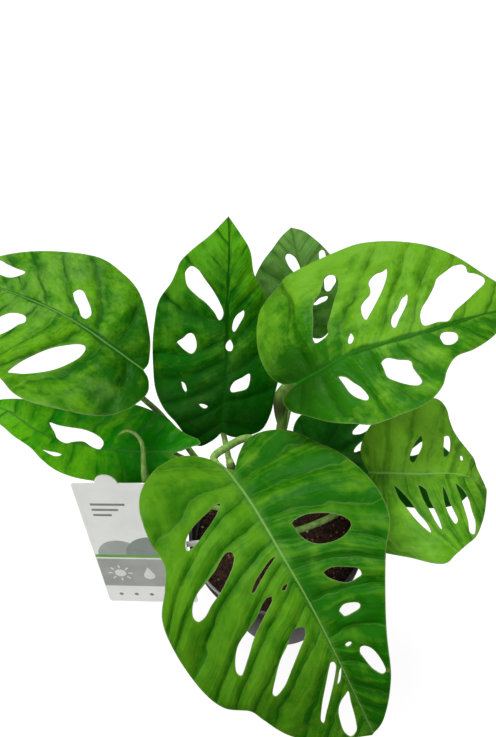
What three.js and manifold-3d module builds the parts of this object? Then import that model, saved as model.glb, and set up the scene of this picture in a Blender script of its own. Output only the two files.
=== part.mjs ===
// A young Monstera adansonii in its nursery pot, with a plain plant label beside it.
// Millimetres, +Z up. The origin is the centre of the pot's base, on the surface that it stands on.
import * as THREE from 'three';
import Module from 'manifold-3d';
import { mergeVertices } from 'three/addons/utils/BufferGeometryUtils.js';

const wasm = await Module();
wasm.setup();

// ---------------------------------------------------------------- driving dimensions

const GAP = 0.3; // clearance between touching pieces

const POT = {
  height: 105, rimRadius: 60, baseRadius: 40, wall: 1.3, floor: 1.6,
  bandHeight: 13, bandStep: 1.6, lipHeight: 3, lipOut: 1.2, edge: 0.6, footEdge: 1,
  drains: 6, drainRadius: 4, drainCircle: 24, drainSides: 14, sides: 56,
};
const SOIL = { topZ: 93, crown: 3, sides: 48, holeFloorZ: 84, stemPlay: 0.45 };

const BLADE = {
  thickness: 0.8, smallestHole: 2.4, chord: 7, // the midrib's direction is taken over a chord this far each way
  edgeStep: 6, gridStep: 10, gridStart: -30, gridEnd: 200, clearOfEdge: 5.5, spineStep: 8, tipClear: 3,
  holeStep: 4.5,
};

const KNEE = { length: 2.5, margin: 0.25, taper: 0.8 }; // where a leaf stalk bends into its blade

const LABEL = {
  corner: [-124.5, -14, 52], widthAxis: [0.99, -0.13, 0], leanDegrees: 9,
  width: 64, height: 124, thickness: 0.8, cornerRadius: 2, tabRadius: 7, tabAt: 22,
};
const STAKE = {
  armZ: 109, armHeight: 5, thickness: 1.6, armFrom: -78, legX: -49.5, legWidth: 5, footZ: 85, pointLength: 4,
};

// Each blade is drawn flat and then bent. In the flat drawing u runs along the midrib from the petiole to
// the tip, and v to the leaf's own left (seen from above with the tip up). The flat leaf is carried by the
// midrib points; side is the direction of the left half at the base and at the tip; fold is the slope in
// degrees at which the left and the right half leave the midrib, at the base and at the tip; curl is how
// fast each half bends from there, in degrees per millimetre. A hole is given by its inner end, its outer
// end, its width and how far its middle bows to the left.
const LEAVES = [
  {
    name: 'front',
    midrib: [[-27, -23, 218], [-14, -50, 222], [-1, -78, 216], [10, -98, 202], [19, -114, 184], [26, -124, 164],
      [34, -134, 138]],
    side: [[0.95, 0, -0.18], [0.97, -0.1, 0]], fold: [[8, 12], [0, 0]], curl: [[0.15, 0.15], [0.2, 0.3]],
    sinus: [9, 3],
    left: [[-2, 12], [-9, 21], [-9, 32], [-1, 43], [20, 49], [45, 54], [62, 54], [72, 51], [80, 43], [95, 33],
      [110, 26], [130, 20], [150, 12], [162, 6]],
    tip: [171, -1],
    right: [[-7, -7], [-12, -18], [-7, -32], [4, -44], [18, -52], [32, -53], [43, -51], [51, -55], [59, -61],
      [72, -62], [97, -60], [110, -56], [122, -48], [135, -45], [152, -39], [164, -28], [169, -15]],
    holes: [[25, -15, 40, -39, 5, 0], [49, -20, 64, -48, 8, 1], [61, -4, 67, -21, 2, 0],
      [71, -15, 104, -44, 9, -2], [94, -10, 124, -33, 8, 0], [105, -3, 110, -6, 1.6, 0],
      [118, -5, 152, -21, 5, 0], [122, -1.5, 132, -5, 1.5, 0], [136, -3, 164, -13, 8, 0],
      [51, 12, 69, 34, 15, -1], [78, 11, 84, 26, 6, 0], [95, 10, 96, 20, 6, 0], [111, 6, 110, 10, 1.6, 0],
      [112, 13, 128, 19, 7, 0]],
  },
  {
    name: 'right',
    midrib: [[51, -26, 199], [60, -33, 207], [74, -38, 211], [90, -39, 210], [100, -39, 205], [109, -39, 195]],
    side: [[0, 1, 0], [0, 1, 0.1]], fold: [[3, 3], [0, 0]], curl: [[0, 0], [-0.12, -0.12]],
    sinus: [0, 0],
    left: [[-6, 7], [-9, 14], [-7, 23], [0, 32], [10, 38], [27, 45], [45, 48], [51, 47], [54, 42], [54, 34],
      [55, 27], [58, 22], [63, 19], [69, 16], [70, 10], [73, 5]],
    tip: [76, 0],
    right: [[-8, -5], [-10, -14], [-5, -27], [6, -37], [17, -42], [25, -44], [34, -47], [38, -43], [43, -39],
      [50, -34], [56, -27], [65, -16], [72, -6]],
    holes: [[26, 7, 34, 23, 4, -1], [44, 10, 49, 23, 4.5, 0], [54, 9, 55.5, 12, 2.4, 0], [17, -7, 31, -32, 3.2, 0],
      [29, -7, 35, -30, 3.2, 0], [39, -7, 41, -28, 4, 0], [47, -6, 50, -33, 5, 0.5]],
  },
  {
    name: 'upper_right',
    midrib: [[16, 4, 243], [31, 3, 254], [44, 6, 259], [69, 6, 266], [85, 8, 268], [114, 19, 264], [149, 34, 254]],
    side: [[-0.1, 0.9, 0.25], [-0.1, 0.9, 0.25]], fold: [[5, 5], [2, 2]], curl: [[0, 0], [-0.11, -0.11]],
    sinus: [0, 0],
    left: [[-7, 3], [-13, 10], [-16, 21], [-16, 31], [-13, 42], [-8, 50], [0, 54], [14, 57], [31, 58], [50, 60],
      [68, 57], [85, 53], [100, 47], [111, 38], [123, 24], [135, 12]],
    tip: [147, 0],
    right: [[-6, -2], [-10, -6], [-7, -13], [2, -20], [12, -28], [19, -34], [25, -39], [37, -40], [50, -39],
      [60, -37], [68, -31], [73, -23], [79, -18], [90, -17], [104, -14], [117, -9], [132, -5]],
    holes: [[20, 16, 38, 47, 9, -2], [47, 17, 64, 39, 8, 2], [57, 7, 71, 22, 4, 1], [35, 5.5, 37, 11, 3, 0],
      [73, 6, 120, 20, 21, 5], [75, -8, 86, -8, 8, 0], [48, -8, 58, -27, 11, 2], [22, -7, 31, -26, 5.5, -2]],
  },
  {
    name: 'top',
    midrib: [[-29, 33, 172], [-25, 43, 192], [-20, 58, 220], [-16, 69, 251], [-12, 81, 273], [-10, 96, 289]],
    side: [[-1, 0, 0], [-1, 0, 0]], fold: [[5, 5], [-5, -5]], curl: [[-0.3, -0.3], [-0.3, -0.3]],
    sinus: [0, 0],
    left: [[-6, 6], [-10, 14], [-4, 22], [5, 29], [14, 37], [27, 43], [42, 45], [57, 45], [73, 43], [86, 40],
      [96, 33], [103, 30], [109, 28], [117, 21], [126, 10]],
    tip: [136, 0],
    right: [[-3, -8], [-2, -17], [2, -26], [13, -31], [27, -33], [43, -35], [59, -33], [76, -28], [92, -22],
      [104, -15], [117, -12], [127, -6]],
    holes: [[76, 3, 105, 23, 9, 1], [55, 18, 64, 28, 10, 0], [15, 6, 35, 31, 2.7, 0], [68, -3, 81, -9, 3.8, 0],
      [54, -2, 63, -2, 4, 0], [27, -4, 40, -15, 8, -1]],
  },
  {
    name: 'left',
    midrib: [[-69, 43, 226], [-87, 54, 238], [-104, 67, 245], [-122, 79, 250], [-159, 107, 248], [-205, 143, 236]],
    side: [[-0.1, -0.9, -0.1], [-0.1, -0.9, -0.1]], fold: [[-3, -3], [0, 0]], curl: [[0.1, 0.1], [0.1, 0.1]],
    sinus: [0, 0],
    left: [[-5, 3], [-10, 11], [-9, 22], [-4, 35], [5, 45], [18, 53], [30, 58], [45, 58], [65, 53], [85, 46],
      [105, 37], [130, 27], [152, 16], [166, 7]],
    tip: [175, 0],
    right: [[0, -5], [3, -12], [9, -22], [20, -33], [34, -41], [48, -47], [62, -49], [80, -45], [100, -38],
      [120, -31], [140, -23], [160, -11]],
    holes: [[47, -8, 64, -20, 7, 0], [106, -12, 136, -19, 10, 0], [33, 11, 57, 49, 12, 2],
      [79, 13, 94, 32, 17, -2], [112, 8, 126, 22, 7, 0]],
  },
  {
    name: 'low_left',
    midrib: [[-59, 14, 183], [-80, 21, 177], [-108, 34, 169], [-149, 53, 166], [-179, 79, 164], [-205, 96, 157]],
    side: [[0.1, -0.95, -0.1], [0.1, -0.95, -0.2]], fold: [[-36, -8], [-8, -8]],
    curl: [[-0.3, -0.3], [-0.15, -0.15]],
    sinus: [0, 2],
    left: [[-7, 5], [-8, 10], [0, 15], [14, 18], [34, 21], [52, 22], [71, 22], [84, 20], [95, 16], [105, 12],
      [125, 12], [145, 10], [160, 5]],
    tip: [172, 0],
    right: [[-12, -3], [-18, -5], [-16, -8], [-7, -12], [1, -17], [14, -27], [30, -32], [50, -36], [67, -36],
      [91, -33], [117, -22], [136, -12], [155, -5]],
    holes: [[54, -4, 101, -9, 12, -3], [82, 9, 94, 10, 3, 1]],
  },
  {
    name: 'back',
    midrib: [[35, 99, 194], [34, 101, 212], [32, 107, 238], [28, 116, 264]],
    side: [[-1, 0, 0], [-1, 0, 0]], fold: [[0, 0], [0, 0]], curl: [[-0.3, -0.3], [-0.3, -0.3]],
    sinus: [0, 0],
    left: [[-5, 9], [-4, 17], [3, 25], [15, 30], [30, 32], [44, 30], [55, 23], [63, 14], [69, 7]],
    tip: [73, 0],
    right: [[-9, -3], [-11, -10], [-4, -17], [10, -23], [27, -25], [42, -24], [53, -19], [62, -13], [69, -7]],
    holes: [[41, 1, 57, 6, 6.5, 0], [45, -15, 54, -16, 4.5, 0], [26, -16, 37, -20, 8, 0], [18, -6, 22, -16, 4, 0]],
  },
  {
    name: 'inner',
    midrib: [[31, 22, 155], [49, 8, 166], [76, -5, 172], [99, -13, 168], [122, -12, 155]],
    side: [[0, 1, 0.1], [0, 1, 0.1]], fold: [[0, 0], [0, 0]], curl: [[-0.3, -0.3], [-0.3, -0.3]],
    sinus: [0, 0],
    left: [[-9, 3], [-20, 6], [-27, 14], [-26, 24], [-14, 33], [10, 36], [38, 38], [60, 37], [80, 31], [100, 14]],
    tip: [108, 0],
    right: [[-8, -3], [-20, -6], [-25, -13], [-17, -20], [2, -23], [24, -23], [43, -25], [62, -26], [80, -21],
      [96, -11]],
    holes: [[22, 16, 33, 27, 8, 0], [27, 4, 33, 12, 5, 0], [60, 8, 74, 23, 7, 0]],
  },
];

// A stem is listed from the bottom of its hole in the soil upward. Its leaf stalks are one growth with it:
// each is listed from inside the stem to a point near its blade, which it then meets from below.
const STEMS = {
  stem_front: {
    points: [[-4, -8, 84.5], [-4, -8, 91], [-4, -8, 98], [-3, -2, 122], [-4, 4, 150]],
    radii: [3, 3, 3, 2.7, 2.2],
    stalks: [
      { leaf: 'front', radius: 2.3, points: [[-3.8, 2, 143], [-5, 7, 165], [-5, 9, 184], [-12, 8, 196],
        [-24, -2, 203], [-32, -10, 205]] },
      { leaf: 'right', radius: 2, points: [[-3.8, -6, 108], [4, -13, 120], [14, -18, 131], [34, -22, 151],
        [46, -25, 175]] },
    ],
  },
  stem_right: {
    points: [[6, 34, 84.5], [6, 34, 91], [6, 34, 98], [8, 38, 125], [9, 42, 150], [12, 41, 178], [14, 38, 197]],
    radii: [3.4, 3.4, 3.4, 3.1, 3.4, 2.8, 2.4],
    stalks: [
      { leaf: 'upper_right', radius: 2.2, points: [[13, 39.5, 188], [15, 36, 203], [18, 22, 224]] },
      { leaf: 'back', radius: 1.8, points: [[9, 42, 142], [18, 62, 158], [30, 90, 174], [35, 105, 186]] },
      { leaf: 'inner', radius: 1.8, points: [[8, 37.5, 116], [14, 33, 132], [24, 26, 143]] },
    ],
  },
  stem_left: {
    points: [[-22, 14, 84.5], [-22, 14, 91], [-22, 14, 98], [-24, 18, 128], [-26, 21, 158]],
    radii: [3.2, 3.2, 3.2, 2.9, 2.4],
    stalks: [
      { leaf: 'top', radius: 1.9, points: [[-26, 21, 150], [-27, 27, 160], [-28, 34, 166]] },
      { leaf: 'low_left', radius: 1.9, points: [[-24.5, 19, 138], [-36, 17, 160], [-51, 14, 173]] },
    ],
  },
  stem_back: {
    points: [[-34, 32, 84.5], [-34, 32, 91], [-34, 32, 99], [-44, 41, 116]],
    radii: [2.2, 2.2, 2.2, 2.1],
    stalks: [
      { leaf: 'left', radius: 2, points: [[-41, 38, 111], [-52, 49, 128], [-71, 65, 158], [-80, 60, 186],
        [-77, 47, 212]] },
    ],
  },
};

// The newest leaf, still rolled up, on its thin stalk.
const SHOOT = {
  stem: 'stem_front',
  points: [[-4, -4, 116], [-22, -6, 136], [-45, -3, 148], [-64, 0, 154], [-74, 2, 161], [-77, 4, 170], [-76, 8, 182],
    [-75, 14, 193], [-78, 18, 198], [-83, 20, 200], [-89, 21, 196]],
  radii: [1.6, 1.6, 1.6, 1.7, 1.9, 2.2, 2.3, 2.0, 1.6, 1.2, 0.6],
};

// ---------------------------------------------------------------- materials

const MATERIALS = {
  pot: new THREE.MeshStandardMaterial({ color: 0x5c5856, roughness: 0.45, metalness: 0 }),
  soil: new THREE.MeshStandardMaterial({ color: 0x2b1a12, roughness: 0.95, metalness: 0 }),
  leaf: new THREE.MeshStandardMaterial({ color: 0x3f8512, roughness: 0.4, metalness: 0 }),
  stem: new THREE.MeshStandardMaterial({ color: 0x6b9440, roughness: 0.6, metalness: 0 }),
  card: new THREE.MeshStandardMaterial({ color: 0xe9e8e4, roughness: 0.5, metalness: 0 }),
  stake: new THREE.MeshStandardMaterial({ color: 0xdcdcd8, roughness: 0.5, metalness: 0 }),
};

// ---------------------------------------------------------------- solids

// A closed three.js geometry becomes a manifold solid.
function solid(geometry) {
  const bare = geometry.index ? geometry.toNonIndexed() : geometry.clone();
  bare.deleteAttribute('normal');
  bare.deleteAttribute('uv');
  const merged = mergeVertices(bare, 1e-4);
  return new wasm.Manifold(new wasm.Mesh({
    numProp: 3,
    vertProperties: new Float32Array(merged.attributes.position.array),
    triVerts: new Uint32Array(merged.index.array),
  }));
}

function geometryOf(manifold) {
  const mesh = manifold.getMesh();
  const geometry = new THREE.BufferGeometry();
  const corners = [];
  for (let i = 0; i < mesh.vertProperties.length; i += mesh.numProp) {
    corners.push(mesh.vertProperties[i], mesh.vertProperties[i + 1], mesh.vertProperties[i + 2]);
  }
  geometry.setAttribute('position', new THREE.Float32BufferAttribute(corners, 3));
  geometry.setIndex([...mesh.triVerts]);
  geometry.computeVertexNormals();
  return geometry;
}

// Where a cut leaves crumbs, only the biggest body is kept.
function biggestBody(manifold) {
  const bodies = manifold.decompose();
  return bodies.reduce((best, body) => (body.volume() > best.volume() ? body : best));
}

// The profile is a list of [radius, z] that starts and ends on the axis.
function latheSolid(profile, sides) {
  const outline = profile.map(([radius, z]) => new THREE.Vector2(radius, z));
  const geometry = new THREE.LatheGeometry(outline, sides);
  geometry.rotateX(Math.PI / 2); // the lathe turns about Y, so Y becomes Z
  return solid(geometry);
}

function rod(radius, x, y, fromZ, toZ, sides = 20) {
  const geometry = new THREE.CylinderGeometry(radius, radius, toZ - fromZ, sides);
  geometry.rotateX(Math.PI / 2);
  geometry.translate(x, y, (fromZ + toZ) / 2);
  return solid(geometry);
}

function smoothCurve(points) {
  const vectors = points.map((p) => new THREE.Vector3(p[0], p[1], p[2] ?? 0));
  return new THREE.CatmullRomCurve3(vectors, false, 'centripetal');
}

// A round tube through the points, with a radius that changes from point to point and closed flat ends.
function taperedTube(points, radii, step = 7, sides = 10) {
  const curve = smoothCurve(points);
  const rings = Math.max(3, Math.round(curve.getLength() / step));
  const centres = [];
  const ringRadii = [];
  for (let i = 0; i <= rings; i += 1) {
    const t = i / rings;
    centres.push(curve.getPoint(t));
    const place = t * (radii.length - 1);
    const low = Math.min(Math.floor(place), radii.length - 2);
    ringRadii.push(THREE.MathUtils.lerp(radii[low], radii[low + 1], place - low));
  }
  const corners = [];
  let normal = new THREE.Vector3(1, 0.2, 0.1);
  centres.forEach((centre, i) => {
    const before = centres[Math.max(i - 1, 0)];
    const after = centres[Math.min(i + 1, rings)];
    const tangent = after.clone().sub(before).normalize();
    normal = normal.clone().addScaledVector(tangent, -normal.dot(tangent)).normalize();
    const binormal = tangent.clone().cross(normal);
    for (let k = 0; k < sides; k += 1) {
      const angle = (2 * Math.PI * k) / sides;
      const point = centre.clone();
      point.addScaledVector(normal, ringRadii[i] * Math.cos(angle));
      point.addScaledVector(binormal, ringRadii[i] * Math.sin(angle));
      corners.push(point.x, point.y, point.z);
    }
  });
  const faces = [];
  for (let i = 0; i < rings; i += 1) {
    for (let k = 0; k < sides; k += 1) {
      const next = (k + 1) % sides;
      const [a, b, c, d] = [i * sides + k, i * sides + next, (i + 1) * sides + next, (i + 1) * sides + k];
      faces.push(a, b, c, a, c, d);
    }
  }
  for (let k = 1; k < sides - 1; k += 1) {
    faces.push(0, k + 1, k);
    faces.push(rings * sides, rings * sides + k, rings * sides + k + 1);
  }
  const geometry = new THREE.BufferGeometry();
  geometry.setAttribute('position', new THREE.Float32BufferAttribute(corners, 3));
  geometry.setIndex(faces);
  return solid(geometry);
}

// ---------------------------------------------------------------- blades

// The point of the bent blade that the flat point (u, v) goes to, with the blade's upward normal there.
function bladeSurface(leaf) {
  const curve = smoothCurve(leaf.midrib);
  curve.arcLengthDivisions = 400;
  const length = curve.getLength();
  const [baseSide, tipSide] = leaf.side.map((s) => new THREE.Vector3(...s).normalize());
  const along = (s) => curve.getPointAt(THREE.MathUtils.clamp(s / length, 0, 1));
  const place = (u, v) => {
    const inside = THREE.MathUtils.clamp(u, 0, length);
    const share = inside / length;
    const tangent = along(inside + BLADE.chord).sub(along(inside - BLADE.chord)).normalize();
    const centre = along(inside).addScaledVector(tangent, u - inside);
    const side = baseSide.clone().lerp(tipSide, share);
    side.addScaledVector(tangent, -side.dot(tangent)).normalize();
    const up = tangent.clone().cross(side);
    const half = v < 0 ? 1 : 0;
    const fold = THREE.MathUtils.degToRad(THREE.MathUtils.lerp(...leaf.fold[half], share));
    const curl = THREE.MathUtils.degToRad(THREE.MathUtils.lerp(...leaf.curl[half], share)) || 1e-6;
    const reach = Math.abs(v);
    const across = (Math.sin(fold + curl * reach) - Math.sin(fold)) / curl;
    const rise = (Math.cos(fold) - Math.cos(fold + curl * reach)) / curl;
    return centre.addScaledVector(side, half ? -across : across).addScaledVector(up, rise);
  };
  return (u, v) => {
    const alongLeaf = place(u + 1, v).sub(place(u - 1, v));
    const acrossLeaf = v < 0 ? place(u, v).sub(place(u, v - 1)) : place(u, v + 1).sub(place(u, v));
    return { point: place(u, v), normal: alongLeaf.cross(acrossLeaf).normalize() };
  };
}

// The blade's edge in the flat drawing: one smooth run on each side, with a corner at the sinus and the tip.
function bladeEdge(leaf, step) {
  const leftRun = smoothCurve([leaf.sinus, ...leaf.left, leaf.tip]);
  const rightRun = smoothCurve([leaf.tip, ...[...leaf.right].reverse(), leaf.sinus]);
  return [leftRun, rightRun].flatMap((run) => {
    const count = Math.round(run.getLength() / step);
    return run.getSpacedPoints(count).slice(0, count).map((p) => [p.x, p.y]);
  });
}

// A hole is a slender egg, fuller at its outer end.
function holeEdge([innerU, innerV, outerU, outerV, width, bow], step) {
  const length = Math.hypot(outerU - innerU, outerV - innerV);
  const axis = [(outerU - innerU) / length, (outerV - innerV) / length];
  const count = Math.max(8, Math.round((2 * length + width) / step));
  return Array.from({ length: count }, (_, i) => {
    const angle = (2 * Math.PI * i) / count;
    const share = (1 - Math.cos(angle)) / 2;
    const aside = (width / 2) * Math.sin(angle) * (0.78 + 0.34 * share) + bow * 4 * share * (1 - share);
    const ahead = share * length;
    return [innerU + axis[0] * ahead - axis[1] * aside, innerV + axis[1] * ahead + axis[0] * aside];
  });
}

function insideLoop([x, y], loop) {
  let inside = false;
  loop.forEach(([x1, y1], i) => {
    const [x2, y2] = loop[(i + 1) % loop.length];
    if ((y1 > y) !== (y2 > y) && x < x1 + ((y - y1) / (y2 - y1)) * (x2 - x1)) inside = !inside;
  });
  return inside;
}

// Delaunay triangles of points in the plane, by adding one point at a time.
function delaunay(points) {
  const far = 5000;
  const all = [...points, [-far, -far], [far, -far], [0, far]];
  const withCircle = (a, b, c) => {
    const [[ax, ay], [bx, by], [cx, cy]] = [all[a], all[b], all[c]];
    const d = 2 * (ax * (by - cy) + bx * (cy - ay) + cx * (ay - by));
    const [a2, b2, c2] = [ax * ax + ay * ay, bx * bx + by * by, cx * cx + cy * cy];
    const x = (a2 * (by - cy) + b2 * (cy - ay) + c2 * (ay - by)) / d;
    const y = (a2 * (cx - bx) + b2 * (ax - cx) + c2 * (bx - ax)) / d;
    return { corners: d > 0 ? [a, b, c] : [a, c, b], x, y, reach: (ax - x) ** 2 + (ay - y) ** 2 };
  };
  let triangles = [withCircle(points.length, points.length + 1, points.length + 2)];
  points.forEach(([x, y], index) => {
    const hit = triangles.filter((t) => (x - t.x) ** 2 + (y - t.y) ** 2 < t.reach);
    triangles = triangles.filter((t) => !hit.includes(t));
    const edges = new Map();
    hit.forEach(({ corners: [a, b, c] }) => [[a, b], [b, c], [c, a]].forEach(([p, q]) => {
      if (edges.has(`${q} ${p}`)) edges.delete(`${q} ${p}`);
      else edges.set(`${p} ${q}`, [p, q]);
    }));
    edges.forEach(([p, q]) => triangles.push(withCircle(p, q, index)));
  });
  return triangles.map((t) => t.corners).filter((corners) => corners.every((c) => c < points.length));
}

// Edges that only one triangle has.
function rimEdges(triangles) {
  const edges = new Map();
  triangles.forEach(([a, b, c]) => [[a, b], [b, c], [c, a]].forEach(([p, q]) => {
    if (edges.has(`${q} ${p}`)) edges.delete(`${q} ${p}`);
    else edges.set(`${p} ${q}`, [p, q]);
  }));
  return [...edges.values()];
}

// A triangle that hangs on by one corner would pinch the solid, so it is dropped.
function withoutPinches(triangles) {
  let kept = triangles;
  for (;;) {
    const uses = new Map();
    rimEdges(kept).forEach(([p]) => uses.set(p, (uses.get(p) ?? 0) + 1));
    const pinched = new Set([...uses].filter(([, count]) => count > 1).map(([p]) => p));
    if (pinched.size === 0) return kept;
    const rim = new Set(rimEdges(kept).map(([p, q]) => `${p} ${q}`));
    const loose = ([a, b, c]) => [a, b, c].some((p) => pinched.has(p))
      && [[a, b], [b, c], [c, a]].filter(([p, q]) => rim.has(`${p} ${q}`)).length > 1;
    const next = kept.filter((t) => !loose(t));
    kept = next.length < kept.length ? next : kept.filter((t) => !t.some((p) => pinched.has(p)));
  }
}

// The flat blade as points and triangles, with its holes left open.
function flatBlade(leaf) {
  const edge = bladeEdge(leaf, BLADE.edgeStep);
  const holes = leaf.holes.filter((h) => h[4] >= BLADE.smallestHole).map((h) => holeEdge(h, BLADE.holeStep));
  const spine = Array.from({ length: Math.ceil(BLADE.gridEnd / BLADE.spineStep) }, (_, i) => (
    [leaf.sinus[0] + (i + 0.5) * BLADE.spineStep, 0]
  )).filter(([u, v]) => insideLoop([u, v], edge) && u < leaf.tip[0] - BLADE.tipClear
    && !holes.some((h) => insideLoop([u, v], h)));
  const points = [...edge, ...holes.flat(), ...spine];
  // inside, the points stand in staggered rows, each a hair off its place so that no four lie on one circle
  const rowStep = BLADE.gridStep * Math.sin(Math.PI / 3);
  const rows = Math.ceil((BLADE.gridEnd - BLADE.gridStart) / rowStep);
  const columns = Math.ceil(Math.max(...edge.map(([, v]) => Math.abs(v))) / BLADE.gridStep);
  const hair = 0.05;
  for (let row = 0; row < rows; row += 1) {
    for (let column = -columns; column <= columns; column += 1) {
      const stagger = (row % 2) * 0.5;
      const u = BLADE.gridStart + row * rowStep + hair * Math.sin(row * 3 + column * 7);
      const v = (column + stagger) * BLADE.gridStep + hair * Math.cos(row * 5 + column * 2);
      const clear = points.every(([pu, pv]) => Math.hypot(pu - u, pv - v) > BLADE.clearOfEdge);
      if (clear && insideLoop([u, v], edge) && !holes.some((h) => insideLoop([u, v], h))) points.push([u, v]);
    }
  }
  const triangles = delaunay(points).filter((corners) => {
    const middle = [0, 1].map((k) => corners.reduce((sum, c) => sum + points[c][k], 0) / 3);
    return insideLoop(middle, edge) && !holes.some((h) => insideLoop(middle, h));
  });
  return { points, triangles: withoutPinches(triangles) };
}

// The bent blade: the flat triangles on both faces, split alike, and a wall along every edge.
function bladeSolid(leaf, flat) {
  const surface = bladeSurface(leaf);
  const corners = [];
  [0.5, -0.5].forEach((offset) => flat.points.forEach(([u, v]) => {
    const { point, normal } = surface(u, v);
    point.addScaledVector(normal, offset * BLADE.thickness);
    corners.push(point.x, point.y, point.z);
  }));
  const count = flat.points.length;
  const faces = [];
  flat.triangles.forEach(([a, b, c]) => faces.push(a, b, c, a + count, c + count, b + count));
  rimEdges(flat.triangles).forEach(([p, q]) => faces.push(p, p + count, q + count, p, q + count, q));
  const geometry = new THREE.BufferGeometry();
  geometry.setAttribute('position', new THREE.Float32BufferAttribute(corners, 3));
  geometry.setIndex(faces);
  return solid(geometry);
}

// ---------------------------------------------------------------- pot, soil and label

function potSolid() {
  const { height, rimRadius, baseRadius, wall, floor, edge, footEdge } = POT;
  const { bandHeight, bandStep, lipHeight, lipOut } = POT;
  const bandZ = height - bandHeight;
  const bandRadius = rimRadius - lipOut;
  const neckRadius = bandRadius - bandStep;
  const body = latheSolid([
    [0, 0], [baseRadius - footEdge, 0], [baseRadius, footEdge], [neckRadius, bandZ],
    [bandRadius, bandZ + bandStep / 2], [bandRadius, height - lipHeight], [rimRadius, height - lipHeight + edge],
    [rimRadius, height - edge], [rimRadius - edge, height], [bandRadius - wall + edge, height],
    [bandRadius - wall, height - edge], [bandRadius - wall, bandZ + bandStep], [neckRadius - wall, bandZ],
    [baseRadius - wall, floor], [0, floor],
  ], POT.sides);
  let drained = body;
  for (let i = 0; i < POT.drains; i += 1) {
    const angle = (2 * Math.PI * (i + 0.5)) / POT.drains;
    const [x, y] = [POT.drainCircle * Math.cos(angle), POT.drainCircle * Math.sin(angle)];
    drained = drained.subtract(rod(POT.drainRadius, x, y, -floor, 2 * floor, POT.drainSides));
  }
  return drained;
}

// Everything that stands in the soil, a little wider than it is, to cut its plain hole.
function soilHoles() {
  const round = Object.values(STEMS).map(({ points: [[x, y]], radii }) => (
    rod(radii[0] + SOIL.stemPlay, x, y, SOIL.holeFloorZ, POT.height)));
  const slotDepth = POT.height - STAKE.footZ + GAP;
  const slot = new THREE.BoxGeometry(STAKE.legWidth + 2 * GAP, STAKE.thickness + 2 * GAP, slotDepth);
  slot.translate(STAKE.legX, stakeY(), POT.height - slotDepth / 2);
  return [...round, solid(slot)];
}

function soilSolid() {
  const { height, rimRadius, baseRadius, wall, floor, bandHeight, bandStep, lipOut } = POT;
  const bandZ = height - bandHeight;
  const neck = rimRadius - lipOut - bandStep - wall - GAP;
  const bottomZ = floor + GAP;
  const slope = (neck - (baseRadius - wall - GAP)) / (bandZ - floor);
  const body = latheSolid([
    [0, bottomZ], [baseRadius - wall - GAP - 0.2, bottomZ], [neck - 0.2, bandZ], [neck + slope, SOIL.topZ],
    [neck * 0.7, SOIL.topZ + SOIL.crown * 0.6], [0, SOIL.topZ + SOIL.crown],
  ], SOIL.sides);
  return soilHoles().reduce((soil, hole) => soil.subtract(hole), body);
}

// The label leans back, so its depth changes with height.
function labelFrame() {
  const across = new THREE.Vector3(...LABEL.widthAxis).normalize();
  const lean = THREE.MathUtils.degToRad(LABEL.leanDegrees);
  const back = new THREE.Vector3(-across.y, across.x, 0);
  const upward = new THREE.Vector3(0, 0, Math.cos(lean)).addScaledVector(back, Math.sin(lean));
  const frame = new THREE.Matrix4().makeBasis(across, upward, across.clone().cross(upward));
  return frame.setPosition(...LABEL.corner);
}

function labelSolid() {
  const { width, height, cornerRadius: r, tabRadius, tabAt } = LABEL;
  const outline = new THREE.Shape();
  outline.moveTo(r, 0);
  outline.lineTo(width - r, 0);
  outline.absarc(width - r, r, r, -Math.PI / 2, 0);
  outline.absarc(width - r, height - r, r, 0, Math.PI / 2);
  outline.absarc(tabAt, height, tabRadius, 0, Math.PI);
  outline.absarc(r, height - r, r, Math.PI / 2, Math.PI);
  outline.absarc(r, r, r, Math.PI, 1.5 * Math.PI);
  const geometry = new THREE.ExtrudeGeometry(outline, {
    depth: LABEL.thickness, bevelEnabled: false, curveSegments: 5,
  });
  return solid(geometry.applyMatrix4(labelFrame()));
}

// The stake runs flat behind the label, at the depth of the label's back face where they meet.
function stakeY() {
  const frame = labelFrame();
  const lean = THREE.MathUtils.degToRad(LABEL.leanDegrees);
  const top = (STAKE.armZ + STAKE.armHeight - LABEL.corner[2]) / Math.cos(lean);
  const backFace = new THREE.Vector3(STAKE.armFrom - LABEL.corner[0], top, 0).applyMatrix4(frame);
  return backFace.y + STAKE.thickness / 2 + 1.5 * GAP;
}

// An arm over the pot's rim and a leg down into the soil.
function stakeSolid() {
  const { armZ, armHeight, armFrom, legX, legWidth, footZ, pointLength, thickness } = STAKE;
  const right = legX + legWidth / 2;
  const outline = new THREE.Shape([
    [armFrom, armZ], [right - legWidth, armZ], [right - legWidth, footZ + pointLength], [legX, footZ],
    [right, footZ + pointLength], [right, armZ + armHeight], [armFrom, armZ + armHeight],
  ].map(([x, z]) => new THREE.Vector2(x, z)));
  const geometry = new THREE.ExtrudeGeometry(outline, { depth: thickness, bevelEnabled: false });
  geometry.rotateX(Math.PI / 2);
  geometry.translate(0, stakeY() + thickness / 2, 0);
  return solid(geometry);
}

// ---------------------------------------------------------------- assembly

const plant = new THREE.Group();

function place(name, manifold, material) {
  const mesh = new THREE.Mesh(geometryOf(manifold), material);
  mesh.name = name;
  plant.add(mesh);
}

place('pot', potSolid(), MATERIALS.pot);
place('soil', soilSolid(), MATERIALS.soil);
place('label_card', labelSolid(), MATERIALS.card);
place('label_stake', stakeSolid(), MATERIALS.stake);

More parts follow.
